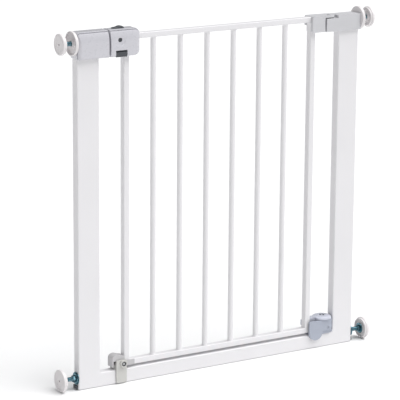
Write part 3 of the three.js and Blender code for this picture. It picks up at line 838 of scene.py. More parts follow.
def threaded_rod_tree() -> ShapeTree:
    """A rod along X with a rolled thread that runs out at both ends.

    Returns:
        The tree.
    """
    tree = ShapeTree("threaded_rod", "Start", "Length", "Height", "Radius", "Pitch", "Depth")
    start, length, height, pitch = (tree.size(label) for label in ("Start", "Length", "Height", "Pitch"))
    end = tree.maths("ADD", start, length)
    line = tree.node("GeometryNodeCurvePrimitiveLine", {
        "Start": tree.vector(start, 0.0, height), "End": tree.vector(end, 0.0, height),
    })
    steps = tree.maths("MULTIPLY", tree.maths("DIVIDE", length, pitch), 9.0)
    dense = tree.node("GeometryNodeResampleCurve", {"Curve": line.outputs[0], "Count": steps})
    section = tree.node("GeometryNodeCurvePrimitiveCircle", {"Resolution": 32, "Radius": tree.size("Radius")})
    blank = tree.node("GeometryNodeCurveToMesh", {
        "Curve": dense.outputs[0], "Profile Curve": section.outputs[0], "Fill Caps": True,
    })
    x, y, z = tree.position()
    up = tree.maths("SUBTRACT", z, height)
    turn = tree.maths("DIVIDE", tree.maths("ARCTAN2", up, y), 2 * math.pi)
    wave = tree.maths("PINGPONG", tree.maths("SUBTRACT", tree.maths("DIVIDE", x, pitch), turn), 0.5)
    groove = tree.maths("SMOOTH_MIN", tree.maths("MULTIPLY", wave, 2.4), 1.0)
    near_end = tree.maths("MINIMUM", tree.maths("SUBTRACT", x, start), tree.maths("SUBTRACT", end, x))
    run_out = tree.maths("SUBTRACT", 1.0, tree.maths("DIVIDE", near_end, pitch))
    depth = tree.maths("MULTIPLY", tree.maths("MAXIMUM", groove, run_out), tree.size("Depth"))
    scale = tree.maths("SUBTRACT", 1.0, tree.maths("DIVIDE", depth, tree.size("Radius")))
    depth_place = tree.maths("MULTIPLY", y, scale)
    height_place = tree.maths("ADD", height, tree.maths("MULTIPLY", up, scale))
    moved = tree.node("GeometryNodeSetPosition", {
        "Geometry": blank.outputs[0], "Position": tree.vector(x, depth_place, height_place),
    })
    return tree.finish_with(moved.outputs[0])


def stud_grid_tree() -> ShapeTree:
    """A grid of low studs on the front of a button, joined to the button.

    Returns:
        The tree.
    """
    tree = ShapeTree(
        "stud_grid", "Columns", "Rows", "Width", "Tall", "Middle X", "Front Y", "Middle Z", "Stud")
    grid = tree.node("GeometryNodeMeshGrid", {
        "Size X": tree.size("Width"), "Size Y": tree.size("Tall"),
        "Vertices X": tree.size("Columns"), "Vertices Y": tree.size("Rows"),
    })
    upright = tree.node("GeometryNodeTransform", {
        "Geometry": grid.outputs[0], "Rotation": (math.pi / 2, 0.0, 0.0),
        "Translation": tree.vector(tree.size("Middle X"), tree.size("Front Y"), tree.size("Middle Z")),
    })
    ball = tree.node("GeometryNodeMeshIcoSphere", {"Radius": tree.size("Stud"), "Subdivisions": 2})
    studs = tree.node("GeometryNodeInstanceOnPoints", {
        "Points": upright.outputs[0], "Instance": ball.outputs[0], "Scale": (1.0, 0.55, 1.0),
    })
    both = tree.node("GeometryNodeJoinGeometry")
    tree.group.links.new(tree.source.outputs["Base"], both.inputs[0])
    tree.group.links.new(studs.outputs[0], both.inputs[0])
    return tree.finish_with(both.outputs[0])


def ridge_row_tree() -> ShapeTree:
    """A row of thumb ridges across a slider, joined to the slider.

    Returns:
        The tree.
    """
    tree = ShapeTree("ridge_row", "Count", "First X", "First Z", "Step X", "Step Z", "Length", "Ridge")
    ridge = tree.node("GeometryNodeMeshCylinder", {
        "Vertices": 12, "Radius": tree.size("Ridge"), "Depth": tree.size("Length"),
    })
    across = tree.node("GeometryNodeTransform", {
        "Geometry": ridge.outputs[0], "Rotation": (math.pi / 2, 0.0, 0.0),
    })
    row = tree.node("GeometryNodeMeshLine", {
        "Count": tree.size("Count"),
        "Start Location": tree.vector(tree.size("First X"), 0.0, tree.size("First Z")),
        "Offset": tree.vector(tree.size("Step X"), 0.0, tree.size("Step Z")),
    })
    ridges = tree.node("GeometryNodeInstanceOnPoints", {
        "Points": row.outputs[0], "Instance": across.outputs[0],
    })
    both = tree.node("GeometryNodeJoinGeometry")
    tree.group.links.new(tree.source.outputs["Base"], both.inputs[0])
    tree.group.links.new(ridges.outputs[0], both.inputs[0])
    return tree.finish_with(both.outputs[0])


# ---- Frame and door ------------------------------------------------------------------------------
@dataclass
class WeldedFrame:
    """The U-shaped tube frame: two posts and a bottom rail, welded and coated as one."""

    half_width: float = 352.0
    post_width: float = 52.0
    height: float = 753.0
    rail_height: float = 31.0
    depth: float = 22.0
    rounding: float = 2.6
    plug_height: float = 14.3
    wall: float = 1.5
    bush_radius: float = 7.1
    bush_depth: float = 36.0
    spindle_heights: tuple[float, float] = (744.0, 24.5)

    def tubes(self) -> Piece:
        """The welded tubes, with open feet for the plugs and holes for the bushings.

        Returns:
            The tubes.
        """
        outer, inner = self.half_width, self.half_width - self.post_width
        plan = [
            (-outer, 0.0), (outer, 0.0), (outer, self.height), (inner, self.height),
            (inner, self.rail_height), (-inner, self.rail_height), (-inner, self.height),
            (-outer, self.height),
        ]
        half = self.depth / 2
        piece = loft("frame_tubes", [[Vector((x, y, z)) for x, z in plan] for y in (-half, half)])
        softened(piece, self.rounding, 5)
        tools = []
        for side in Side:
            low, high = sorted((side.value * (inner + self.wall), side.value * (outer - self.wall)))
            room = half - self.wall
            tools.append(block("foot_" + side.word, (low, -room, -OVERCUT), (high, room, self.plug_height)))
            near = min(side.value * (outer - self.bush_depth), side.value * (outer + OVERCUT))
            for number, z in enumerate(self.spindle_heights):
                tools.append(rod(
                    f"bush_{side.word}_{number}", Vector((near, 0.0, z)), Axis.X, self.bush_depth + OVERCUT,
                    self.bush_radius, 40))
        return softened(cut(piece, *tools), 0.0)

    def build(self) -> None:
        """Builds the tubes and the foot plugs."""
        hand_over(self.tubes(), WHITE_ENAMEL, "left_post", "right_post", "bottom_rail")
        rounded_copies(DARK_GRIP, 0.5, "foot_plug_left", "foot_plug_right")


@dataclass
class DoorPanel:
    """The swinging door: a welded tube rectangle with six round bars."""

    half_width: float = 240.0
    stile_width: float = 13.0
    bottom: float = 37.0
    top: float = 755.5
    rail_height: float = 12.0
    depth: float = 16.0
    rounding: float = 1.8
    bar_count: int = 6
    bar_diameter: float = 12.0
    end_pitch: float = 68.5
    weld_height: float = 2.6
    weld_flare: float = 1.16

    def ring(self) -> Piece:
        """The rectangle of stiles and rails.

        Returns:
            The rectangle.
        """
        x, z0, z1 = self.half_width, self.bottom, self.top
        outer = [(-x, z0), (x, z0), (x, z1), (-x, z1)]
        a, b0, b1 = x - self.stile_width, z0 + self.rail_height, z1 - self.rail_height
        inner = [(-a, b0), (a, b0), (a, b1), (-a, b1)]
        half = self.depth / 2
        loops = [
            [Vector((u, y, v)) for u, v in plan]
            for plan, y in ((outer, -half), (outer, half), (inner, half), (inner, -half))
        ]
        return softened(loft("door_tubes", loops, closed=True), self.rounding, 4)

    def bars(self) -> Piece:
        """The row of bars.

        Returns:
            The bars.
        """
        first = -self.half_width + self.stile_width / 2 + self.end_pitch
        return bar_row_tree().run(
            empty_piece("door_bars"), WHITE_ENAMEL,
            Count=self.bar_count, First=first * MM, Pitch=-2 * first / (self.bar_count - 1) * MM,
            Diameter=self.bar_diameter * MM,
            Bottom=(self.bottom + self.rail_height - 0.1) * MM, Top=(self.top - self.rail_height + 0.1) * MM,
            Weld_height=self.weld_height * MM, Weld_flare=self.weld_flare,
        )

    def build(self) -> None:
        """Builds the rectangle and the bars."""
        hand_over(
            self.ring(), WHITE_ENAMEL, "door_top_rail", "door_bottom_rail", "latch_stile", "hinge_stile")
        hand_over(self.bars(), WHITE_ENAMEL, *[f"bar_{i + 1}" for i in range(self.bar_count)])


# ---- Latch ---------------------------------------------------------------------------------------
@dataclass(frozen=True)
class Station:
    """One ring of a housing shell: its depth and how far the top, bottom and outer end are drawn in."""

    depth: float
    top: float
    bottom: float
    end: float


OUTER_STATIONS = (
    Station(0.15, 0.0, 0.0, 0.0),
    Station(9.6, 0.0, 0.0, 0.0),
    Station(12.2, 0.3, 0.0, 0.2),
    Station(13.8, 0.9, 0.0, 0.5),
    Station(14.7, 1.5, 0.0, 0.8),
    Station(15.6, 2.1, 0.0, 1.1),
    Station(16.2, 3.6, 0.0, 1.5),
    Station(17.1, 5.5, 0.1, 2.1),
    Station(18.0, 8.0, 0.3, 3.0),
    Station(18.9, 10.8, 0.7, 4.0),
    Station(19.7, 13.8, 1.2, 5.1),
    Station(20.4, 17.2, 2.0, 6.4),
    Station(20.8, 20.4, 2.7, 7.6),
    Station(21.0, 24.5, 3.6, 9.5),
)
GROOVE_STATIONS = (
    Station(15.7, -1.6, -6.0, -1.6),
    Station(13.3, 4.6, -6.0, 2.4),
    Station(14.7, 5.6, -6.0, 2.9),
    Station(17.8, -0.2, -6.0, -0.4),
)
INNER_STATIONS = (
    Station(-0.5, 0.0, 0.0, 0.0),
    Station(9.0, 0.6, 0.0, 0.4),
    Station(11.0, 4.2, 0.0, 1.6),
    Station(13.2, 7.2, 0.0, 2.8),
    Station(16.0, 12.0, 0.8, 4.2),
    Station(18.3, 20.0, 2.4, 7.0),
)


@dataclass
class LatchHousing:
    """A two-shell moulded housing with a rounded top, a groove under it and one rounded end."""

    outline: Outline
    wall: float = 2.5
    rounded_end: Side = Side.LEFT
    corner_steps: int = 10
    room_steps: int = 4
    groove_run: float = 6.0

    def rings(
        self, stations: tuple[Station, ...], outline: Outline, half: Half, steps: int, seam_end: float = 0.0
    ) -> list[Loop]:
        """The rings of a shell, of its hollow or of its groove.

        Args:
            stations: The rings' depths and insets.
            outline: The outline before insets.
            half: Which shell.
            steps: Points round each corner.
            seam_end: Inset of the end that isn't rounded.

        Returns:
            One loop for each station.
        """
        left = self.rounded_end is Side.LEFT
        return [
            outline.inset(s.end if left else seam_end, s.bottom, seam_end if left else s.end, s.top).at(
                half.value * s.depth, steps)
            for s in stations
        ]

    def shell(self, name: str, half: Half) -> Piece:
        """A hollow shell with its groove, before its openings are cut.

        Args:
            name: Name of the piece.
            half: Which shell.

        Returns:
            The shell.
        """
        w = self.wall
        body = loft(name, self.rings(OUTER_STATIONS, self.outline, half, self.corner_steps))
        inside = self.outline.inset(w, w, w, w)
        room = loft(name + "_room", self.rings(INNER_STATIONS, inside, half, self.room_steps))
        track = self.rings(GROOVE_STATIONS, self.outline, half, self.corner_steps, -self.groove_run)
        return cut(cut(body, room), loft(name + "_groove", track, closed=True))


@dataclass
class LatchKeeper:
    """The fixed half of the latch, on top of the left post."""

    left: float = -353.6
    right: float = -281.2
    bottom: float = 711.0
    top: float = 768.0
    post_outer: float = -352.3
    post_inner: float = -299.7
    post_depth: float = 22.6
    post_top: float = 753.3
    slot_bottom: float = 700.0
    spindle_height: float = 744.0
    spindle_hole: float = 9.6
    corners: tuple[float, float, float, float] = (3.0, 0.8, 0.8, 5.0)
    window_left: float = -297.3
    window_bottom: float = 726.5
    window_top: float = 743.5
    window_half: float = 5.5
    window_back: float = 42.0

    def half(self, half: Half) -> Piece:
        """One shell, with the slot for the post, the spindle hole and the bolt's window.

        Args:
            half: Which shell.

        Returns:
            The shell.
        """
        outline = Outline(self.left, self.bottom, self.right, self.top, self.corners)
        housing = LatchHousing(outline, rounded_end=Side.LEFT)
        shell = housing.shell("keeper_shell_" + half.word, half)
        deep = self.post_depth / 2
        back = self.window_back if half is Half.REAR else self.window_half
        hole_start = Vector((self.left - OVERCUT, 0, self.spindle_height))
        return softened(cut(
            shell,
            block("post_slot", (self.post_outer, -deep, self.slot_bottom),
                  (self.post_inner, deep, self.post_top)),
            rod("spindle_hole", hole_start, Axis.X, 6.0, self.spindle_hole),
            block("bolt_window", (self.window_left, -self.window_half, self.window_bottom),
                  (self.right + OVERCUT, back, self.window_top)),
        ), 0.25, 2)

    def build(self) -> None:
        """Builds both shells and the metal parts between them."""
        for half in Half:
            hand_over(self.half(half), GREY_SHELL, "keeper_" + half.word)
        rounded_copies(STEEL, 0.3, "strike_plate")
        redress(STEEL, "keeper_screw_1", "keeper_screw_2")


@dataclass
class LatchHandle:
    """The moving half of the latch, on the door's top corner, with its slider and trigger."""

    left: float = -276.8
    right: float = -206.0
    bottom: float = 711.0
    top: float = 768.0
    corner: float = 12.0
    dial_x: float = -254.6
    dial_z: float = 746.0
    dial_radius: float = 12.3
    hole_radius: float = 4.6
    front: float = -21.0
    slider_left: float = -264.4
    slider_length: float = 26.5
    slider_depth: float = 12.5
    slider_base: float = 768.3
    slot_bottom: float = 700.0
    door_room: float = 8.3
    stile_room: tuple[float, float] = (-240.3, -226.7)
    rail_room: tuple[float, float] = (743.2, 755.8)
    bolt_room: tuple[float, float] = (728.5, 741.5)
    bolt_half: float = 5.5
    stem_room: tuple[float, float] = (-262.3, -244.3)
    stem_half: float = 4.5
    trigger_room: tuple[float, float] = (-265.5, -238.5)
    trigger_room_top: float = 724.5
    shield_depths: tuple[float, float] = (-18.0, -16.8)
    shield_top: float = 727.0
    trigger_low: Corner = (-265.0, -20.8, 710.5)
    trigger_high: Corner = (-239.0, -8.8, 720.5)

    def dial(self) -> Piece:
        """The tool for the dished dial and its screw hole.

        Returns:
            The tool.
        """
        dish, hole = self.dial_radius, self.hole_radius
        profile = [(-2.0, dish), (0.0, dish), (0.55, dish - 0.5), (0.9, dish - 2.5), (1.5, hole + 1.4),
                   (1.7, hole + 0.3), (2.2, hole), (6.0, hole)]
        return turned("dial", profile, Axis.Y, Vector((self.dial_x, self.front, self.dial_z)), 1, 64)

    def half(self, half: Half) -> Piece:
        """One shell with its openings.

        Args:
            half: Which shell.

        Returns:
            The shell.
        """
        outline = Outline(self.left, self.bottom, self.right, self.top, (1.5, self.corner, self.corner, 1.5))
        housing = LatchHousing(outline, rounded_end=Side.RIGHT)
        shell = housing.shell("handle_shell_" + half.word, half)
        room, low, high = self.door_room, self.rail_room[0], self.rail_room[1]
        tools = [
            block("stile_space", (self.stile_room[0], -room, self.slot_bottom),
                  (self.stile_room[1], room, high)),
            block("rail_space", (self.stile_room[1] - 0.3, -room, low), (self.right + 5, room, high)),
            block("bolt_hole", (self.left - OVERCUT, -self.bolt_half, self.bolt_room[0]),
                  (self.left + 5, self.bolt_half, self.bolt_room[1])),
            block("stem_slot", (self.stem_room[0], -self.stem_half, self.top - 4),
                  (self.stem_room[1], self.stem_half, self.top + OVERCUT)),
        ]
        if half is Half.FRONT:
            tools.append(block("trigger_slot", (self.trigger_room[0], 2 * self.front, self.slot_bottom),
                               (self.trigger_room[1], -room, self.trigger_room_top)))
            tools.append(self.dial())
        return softened(cut(shell, *tools), 0.25, 2)

    def slider(self) -> Piece:
        """The thumb slider: a low nose, a rounded hump with ridges, and the stem that drives the bolt.

        Returns:
            The slider.
        """
        heights = [(0.0, 0.4), (0.03, 0.9), (0.09, 1.4), (0.2, 1.8), (0.34, 2.1), (0.42, 2.9), (0.5, 3.8),
                   (0.6, 4.4), (0.7, 4.5), (0.8, 4.3), (0.88, 3.7), (0.94, 2.8), (0.98, 1.8), (1.0, 0.5)]
        loops = []
        for share, height in heights:
            x = self.slider_left + share * self.slider_length
            squeeze = 1.2 * max(0.0, (0.09 - share) / 0.09, (share - 0.93) / 0.07)
            half = self.slider_depth / 2 - squeeze
            edge = min(1.6, height * 0.6)
            base = self.slider_base
            loops.append([
                Vector((x, -half, base)), Vector((x, half, base)), Vector((x, half, base + height - edge)),
                Vector((x, half - 0.3 * edge, base + height - 0.4 * edge)),
                Vector((x, half - edge, base + height)), Vector((x, 0.0, base + height + 0.15)),
                Vector((x, edge - half, base + height)),
                Vector((x, 0.3 * edge - half, base + height - 0.4 * edge)),
                Vector((x, -half, base + height - edge)),
            ])
        cap = loft("thumb_slider_cap", loops)
        stem = block("stem", (-261.8, -4.0, 738.3), (-253.8, 4.0, self.slider_base + 0.5))
        piece = softened(joined(cap, stem), 0.0)
        return ridge_row_tree().run(
            piece, DARK_GRIP, Count=5, First_X=(self.slider_left + 4.0) * MM,
            First_Z=(self.slider_base + 1.55) * MM,
            Step_X=1.9 * MM, Step_Z=0.16 * MM, Length=9.0 * MM, Ridge=0.45 * MM)

    def trigger(self) -> Piece:
        """The trigger under the handle, with a studded front.

        Returns:
            The trigger.
        """
        low, high = self.trigger_low, self.trigger_high
        front, back = self.shield_depths
        shield = block("shield", (low[0] + 0.6, front, low[2] + 1.0), (high[0] - 0.6, back, self.shield_top))
        piece = joined(softened(block("trigger_button", low, high), 0.9, 3), shield)
        return stud_grid_tree().run(
            piece, DARK_GRIP, Columns=10, Rows=4, Width=(high[0] - low[0] - 4.5) * MM,
            Tall=(high[2] - low[2] - 3.6) * MM, Middle_X=(low[0] + high[0]) / 2 * MM, Front_Y=low[1] * MM,
            Middle_Z=(low[2] + high[2]) / 2 * MM, Stud=0.7 * MM)

    def build(self) -> None:
        """Builds the shells and the working parts."""
        for half in Half:
            hand_over(self.half(half), GREY_SHELL, "handle_" + half.word)
        hand_over(self.slider(), DARK_GRIP, "thumb_slider")
        hand_over(self.trigger(), DARK_GRIP, "trigger")
        # The handle's screw is dark grip plastic as painted shade at the bottom of the dial's hole.
        rounded_copies(DARK_GRIP, 0.3, "handle_screw")
        rounded_copies(STEEL, 0.4, "bolt_guide", "latch_bolt")
        redress(STEEL, "bolt_spring", "trigger_spring")


# ---- Hinges and catch ----------------------------------------------------------------------------
@dataclass
class UpperHinge:
    """The arm on the door's top corner, the bracket on the post and the pin between them."""

    arm_rounding: float = 1.4
    bracket_rounding: float = 2.4

    def build(self) -> None:
        """Builds the arm and bracket; the pin stays plain."""
        rounded_copies(BRACKET_SHELL, self.arm_rounding, "hinge_arm")
        rounded_copies(BRACKET_SHELL, self.bracket_rounding, "hinge_bracket")
        rounded_copies(STEEL, 0.4, "hinge_pin")


@dataclass
class RingedScrew:
    """A screw whose head stands alone in a round recess, with the recess's shade painted dark on the washer
    at its bottom.
    """

    name: str
    centre: Vector
    axis: Axis
    way: int
    radius: float
    depth: float

    def washer(self, node: str, finish: Finish) -> None:
        """The dished washer at the bottom of the recess, in place of a CAD node, coloured dark as painted
        shade for the recess.

        Args:
            node: The CAD node that it stands for.
            finish: Its finish.
        """
        r = self.radius
        profile = [(0.0, 0.6), (0.0, r - 0.2), (0.3, r), (self.depth - 0.4, r), (self.depth, r - 0.3),
                   (self.depth - 0.1, r - 0.8), (0.9, r - 1.4), (0.7, r - 2.2), (0.7, 0.6)]
        hand_over(softened(turned(node + "_skin", profile, self.axis, self.centre, self.way, 56, True), 0.0),
                  finish, node)

    def head(self, finish: Finish, body_node: str) -> None:
        """The bright head in the middle.

        Args:
            finish: Its finish.
            body_node: A CAD node on the body that it rides.
        """
        r = self.radius * 0.52
        profile = [(0.9, r), (self.depth - 0.5, r), (self.depth, r - 0.5)]
        piece = turned(self.name, profile, self.axis, self.centre, self.way, 40)
        piece.data.materials.append(finish.material())
        softened(piece, 0.2, 2)
        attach(piece, body_of(body_node))
        log.info("%s: %d faces", piece.name, len(piece.data.polygons))


@dataclass
class LowerHinge:
    """The saddle with its round boss, the spring dome above it and the screw on top."""

    boss_x: float = 251.5
    boss_z: float = 37.0
    boss_radius: float = 17.5
    front: float = -17.0
    rail_front: float = -11.3
    top: float = 64.0
    plate_right: float = 293.5
    plate_bottom: float = 38.3
    plate_corner: float = 6.5
    fillet: float = 3.5
    rounding: float = 2.4
    pivot: float = 277.0
    body_front: float = -12.4
    screw_base: float = 69.2
    screw_radius: float = 5.4
    screw_depth: float = 2.9
    recess_radius: float = 5.8
    filler_low: Corner = (262.0, -14.8, 31.4)
    filler_high: Corner = (292.0, -11.3, 42.0)
    shoulder_low: Corner = (239.0, -30.0, 40.0)
    shoulder_high: Corner = (256.5, -5.0, 80.0)
    tab_low: Corner = (228.0, 8.4, 52.0)
    tab_high: Corner = (246.0, 12.5, 64.0)
    seat: Corner = (283.0, -18.0, 45.5)

    def plate(self) -> Piece:
        """The front plate: a round boss on the left that runs up into a band towards the post.

        Returns:
            The plate.
        """
        x, z, r = self.boss_x, self.boss_z, self.boss_radius
        plan = []
        for i in range(41):
            angle = math.pi * (1.0 + i / 40.0)
            plan.append((x + r * math.cos(angle), z + r * math.sin(angle)))
        f = self.fillet
        for i in range(7):
            angle = math.pi * (1.0 - 0.5 * i / 6)
            plan.append((x + r + f + f * math.cos(angle), self.plate_bottom - f + f * math.sin(angle)))
        c = self.plate_corner
        for i in range(11):
            angle = -0.5 * math.pi * (1.0 - i / 10)
            plan.append((
                self.plate_right - c + c * math.cos(angle), self.plate_bottom + c + c * math.sin(angle)))
        for i in range(5):
            angle = 0.5 * math.pi * i / 4
            plan.append((self.plate_right - 2 + 2 * math.cos(angle), self.top - 2 + 2 * math.sin(angle)))
        for i in range(7):
            angle = 0.5 * math.pi * (1 + i / 6)
            plan.append((x - r + 5 + 5 * math.cos(angle), self.top - 5 + 5 * math.sin(angle)))
        depths = (self.front, self.rail_front)
        return loft("saddle_plate", [[Vector((u, y, v)) for u, v in plan] for y in depths])

    def saddle(self) -> Piece:
        """The saddle: the body over the rail with the plate in front.

        Returns:
            The saddle.
        """
        body = copy_of("hinge_saddle", "hinge_saddle_skin")
        low, high = (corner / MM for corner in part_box("hinge_saddle"))
        front = block("front", (low.x - 5, low.y - 5, low.z - 5), (high.x + 5, self.body_front, high.z + 5))
        plate = softened(self.plate(), self.rounding, 4)
        filler = block("filler", self.filler_low, self.filler_high)
        piece = joined(cut(body, front), plate, filler)
        return softened(cut(piece, rod("seat", Vector(self.seat), Axis.Y, 2.2, 3.2, 32)), 0.3, 2)

    def dome(self) -> Piece:
        """The dome over the closer spring, with the tab that holds the stile from behind.

        Returns:
            The dome.
        """
        piece = copy_of("hinge_dome", "hinge_dome_skin")
        tab = block("tab", self.tab_low, self.tab_high)
        floor = Vector((self.pivot, 0.0, self.screw_base - 0.1))
        recess = rod("recess", floor, Axis.Z, 9.0, self.recess_radius)
        shoulder = block("shoulder", self.shoulder_low, self.shoulder_high)
        return softened(joined(cut(piece, shoulder, recess), tab), 0.7, 3)

    def build(self) -> None:
        """Builds the saddle, its cap, the dome and the screw."""
        hand_over(self.saddle(), HINGE_GREY, "hinge_saddle")
        rounded_copies(HINGE_GREY, 0.5, "saddle_cap")
        hand_over(self.dome(), DOME_GREY, "hinge_dome")
        place = Vector((self.pivot, 0.0, self.screw_base))
        screw = RingedScrew("dome_screw_head", place, Axis.Z, 1, self.screw_radius, self.screw_depth)
        # The washer's near-black colour is painted shade in the recess round the screw head.
        screw.washer("dome_screw", RECESS_SHADE_ZINC)
        screw.head(DOME_GREY, "hinge_dome")
        redress(STEEL, "hinge_shaft", "closer_spring")


@dataclass
class BottomCatch:
    """The stop on the bottom rail and the shoe on the door that meets it."""

    plate_rounding: float = 0.9
    shoe_rounding: float = 1.0
    screw_x: float = -246.0
    screw_z: float = 44.0
    boss_front: float = -18.9
    screw_seat: float = -15.3
    screw_radius: float = 4.9
    screw_depth: float = 3.0

    def plate(self) -> Piece:
        """The catch with a raised ring round its screw.

        Returns:
            The catch.
        """
        piece = softened(copy_of("catch_saddle", "catch_saddle_skin"), self.plate_rounding, 2)
        centre = Vector((self.screw_x, self.boss_front, self.screw_z))
        profile = [(0.3, 5.4), (-0.5, 5.8), (-0.8, 6.6), (-0.5, 7.4), (0.3, 7.9)]
        ring = turned("ring", profile, Axis.Y, centre, 1, 56, True)
        return softened(joined(piece, ring), 0.0)

    def build(self) -> None:
        """Builds the catch, its screw and the shoe."""
        hand_over(self.plate(), CATCH_GREY, "catch_saddle")
        place = Vector((self.screw_x, self.screw_seat, self.screw_z))
        screw = RingedScrew("catch_screw_head", place, Axis.Y, -1, self.screw_radius, self.screw_depth)
        # The washer is dark grip plastic as painted shade in the recess round the screw head.
        screw.washer("catch_screw", DARK_GRIP)
        screw.head(STEEL, "catch_saddle")
        rounded_copies(SHOE_GREY, self.shoe_rounding, "door_shoe")


# ---- Wall fixings --------------------------------------------------------------------------------
@dataclass
class WallFixing:
    """One corner's fixing: threaded spindle, wall cup and bushing, with a hand wheel or a nut."""

    side: Side
    upper: bool
    cup_depth: float = 9.5
    cup_hole: float = 2.4
    spindle_radius: float = 4.95
    spindle_length: float = 69.0
    spindle_inset: float = 5.6
    thread_pitch: float = 2.5
    thread_depth: float = 0.75
    post_face: float = 352.3
    wheel_start: float = 354.0
    tight_nut_start: float = 354.1
    loose_nut_start: float = 375.2
    nut_length: float = 8.0
    nut_flange: float = 2.4
    bore: float = 5.25

    @property
    def height(self) -> float:
        """Height of the spindle's axis."""
        return 744.0 if self.upper else 24.5

    @property
    def face(self) -> float:
        """Distance of the cup's face from the middle of the gate."""
        return 388.0 if self.upper else 393.0

    @property
    def cup_radius(self) -> float:
        """Radius of the cup."""
        return 22.7 if self.upper else 24.5

    @property
    def corner(self) -> str:
        """The corner's words in node names."""
        return ("upper_" if self.upper else "lower_") + self.side.word

    def at(self, distance: float) -> Vector:
        """A point on the spindle's axis, by its distance from the middle of the gate."""
        return Vector((self.side.value * distance, 0.0, self.height))

    def ring(
        self, node: str, profile: list[tuple[float, float]], start: float, way: int, segments: int
    ) -> Piece:
        """A turned ring on the spindle's axis.

        Args:
            node: The CAD node that it stands for.
            profile: Distance along the axis and radius of each point.
            start: Where distance 0 lies, from the middle of the gate.
            way: 1 if the profile runs towards +X, -1 towards -X.
            segments: Faces round the ring.

        Returns:
            The ring.
        """
        return softened(turned(node + "_skin", profile, Axis.X, self.at(start), way, segments, True), 0.0)

    def cup(self) -> Piece:
        """The wall cup: a ringed face towards the wall and a stepped back.

        Returns:
            The cup.
        """
        r, deep = self.cup_radius, self.cup_depth
        profile = [
            (0.3, 5.3), (6.0, 5.3), (6.0, self.cup_hole), (deep - 0.6, self.cup_hole),
            (deep - 0.5, self.cup_hole + 0.5), (deep - 0.5, 10.6),
            (deep - 0.7, 10.9), (deep - 0.7, 11.5), (deep - 0.4, 11.8), (deep - 0.2, 17.2),
            (deep - 0.6, 17.6), (deep - 0.6, 18.3), (deep - 0.1, 18.7), (deep, 19.2),
            (deep, r - 1.6), (deep - 0.25, r - 0.7),
            (deep - 0.8, r - 0.2), (deep - 1.6, r), (4.6, r), (4.1, r - 0.2), (3.9, r - 0.8), (3.8, r - 1.6),
            (1.2, r - 2.1), (0.5, r - 2.5), (0.1, r - 3.2), (0.0, r - 4.0), (0.2, r - 5.0), (1.6, r - 6.0),
            (3.0, r - 7.2), (3.2, 12.0), (2.6, 11.0), (0.7, 9.9), (0.2, 9.3), (0.0, 8.6), (0.0, 6.0),
        ]
        return self.ring("wall_cup_" + self.corner, profile, self.face - deep, self.side.value, 96)

    def spindle(self) -> Piece:
        """The threaded spindle.

        Returns:
            The spindle.
        """
        end = self.face - self.spindle_inset
        start = min(self.side.value * end, self.side.value * (end - self.spindle_length))
        return threaded_rod_tree().run(
            empty_piece("spindle_" + self.corner + "_skin"), ZINC,
            Start=start * MM, Length=self.spindle_length * MM,
            Height=self.height * MM, Radius=self.spindle_radius * MM, Pitch=self.thread_pitch * MM,
            Depth=self.thread_depth * MM)

    def bushing(self) -> Piece:
        """The flanged bushing in the post's outer wall.

        Returns:
            The bushing.
        """
        profile = [(-12.0, 5.25), (-0.4, 5.25), (0.0, 5.6), (0.0, 6.5), (-0.4, 6.8), (-2.0, 6.8), (-2.1, 8.2),
                   (-2.4, 8.6), (-4.7, 8.6), (-5.0, 8.2), (-5.0, 6.8), (-12.0, 6.8)]
        return self.ring("bushing_" + self.corner, profile, self.post_face, self.side.value, 64)

    def wheel(self) -> Piece:
        """The hand wheel, a shallow cup with its mouth towards the wall.

        Returns:
            The hand wheel.
        """
        profile = [
            (0.0, 5.25), (5.6, 5.25), (6.0, 5.6), (6.0, 7.9), (5.7, 8.3), (2.9, 8.9), (2.2, 9.6), (2.0, 10.6),
            (2.0, 20.9), (2.2, 22.2), (2.9, 23.1), (6.5, 23.5), (6.8, 23.7), (7.0, 24.2), (7.0, 24.9),
            (6.8, 25.4), (6.3, 25.7), (2.2, 25.7), (1.1, 25.4), (0.4, 24.8), (0.0, 24.0), (0.0, 22.0),
        ]
        return self.ring("hand_wheel_" + self.side.word, profile, self.wheel_start, self.side.value, 112)

    def nut(self) -> Piece:
        """The clamp nut: a hexagonal hub on a round flange.

        Returns:
            The nut.
        """
        flange_first = self.side is Side.LEFT
        start = self.tight_nut_start if flange_first else self.loose_nut_start
        length, flange, bore = self.nut_length, self.nut_flange, self.bore
        flip = 1 if flange_first else -1
        base = start if flange_first else start + length
        direction = self.side.value * flip
        disc = turned(
            "clamp_nut_" + self.side.word + "_skin",
            [(0.0, bore), (0.0, 11.4), (0.3, 11.9), (0.8, 12.0), (1.6, 11.6), (flange, 9.0), (flange, bore)],
            Axis.X, self.at(base), direction, 72, True)
        hub = turned("hub", [(flange - 0.6, 7.5), (length, 7.5)], Axis.X, self.at(base), direction, 6)
        crown = turned(
            "crown", [(0.0, 12.5), (length - 1.3, 7.7), (length, 6.7), (length + 1, 5.4)], Axis.X,
            self.at(base), direction, 72)
        hub = combined(hub, [crown], "INTERSECT")
        hole = turned("hole", [(-OVERCUT, bore), (length + 2.0, bore)], Axis.X, self.at(base), direction, 48)
        return softened(cut(joined(disc, hub), hole), 0.25, 2, 25.0)

    def washer(self) -> Piece:
        """The washer under the lower spindle's nut.

        Returns:
            The washer.
        """
        profile = [(0.0, 7.05), (0.0, 13.7), (0.3, 14.0), (1.2, 14.0), (1.5, 13.7), (1.5, 7.05)]
        return self.ring("washer_lower_" + self.side.word, profile, self.post_face, self.side.value, 72)

    def build(self) -> None:
        """Builds the corner."""
        hand_over(self.cup(), WHITE_PLASTIC, "wall_cup_" + self.corner)
        hand_over(self.spindle(), ZINC, "spindle_" + self.corner)
        hand_over(self.bushing(), ZINC, "bushing_" + self.corner)
        if self.upper:
            hand_over(self.wheel(), WHITE_PLASTIC, "hand_wheel_" + self.side.word)
        else:
            hand_over(self.nut(), ZINC, "clamp_nut_" + self.side.word)
            hand_over(self.washer(), ZINC, "washer_lower_" + self.side.word)


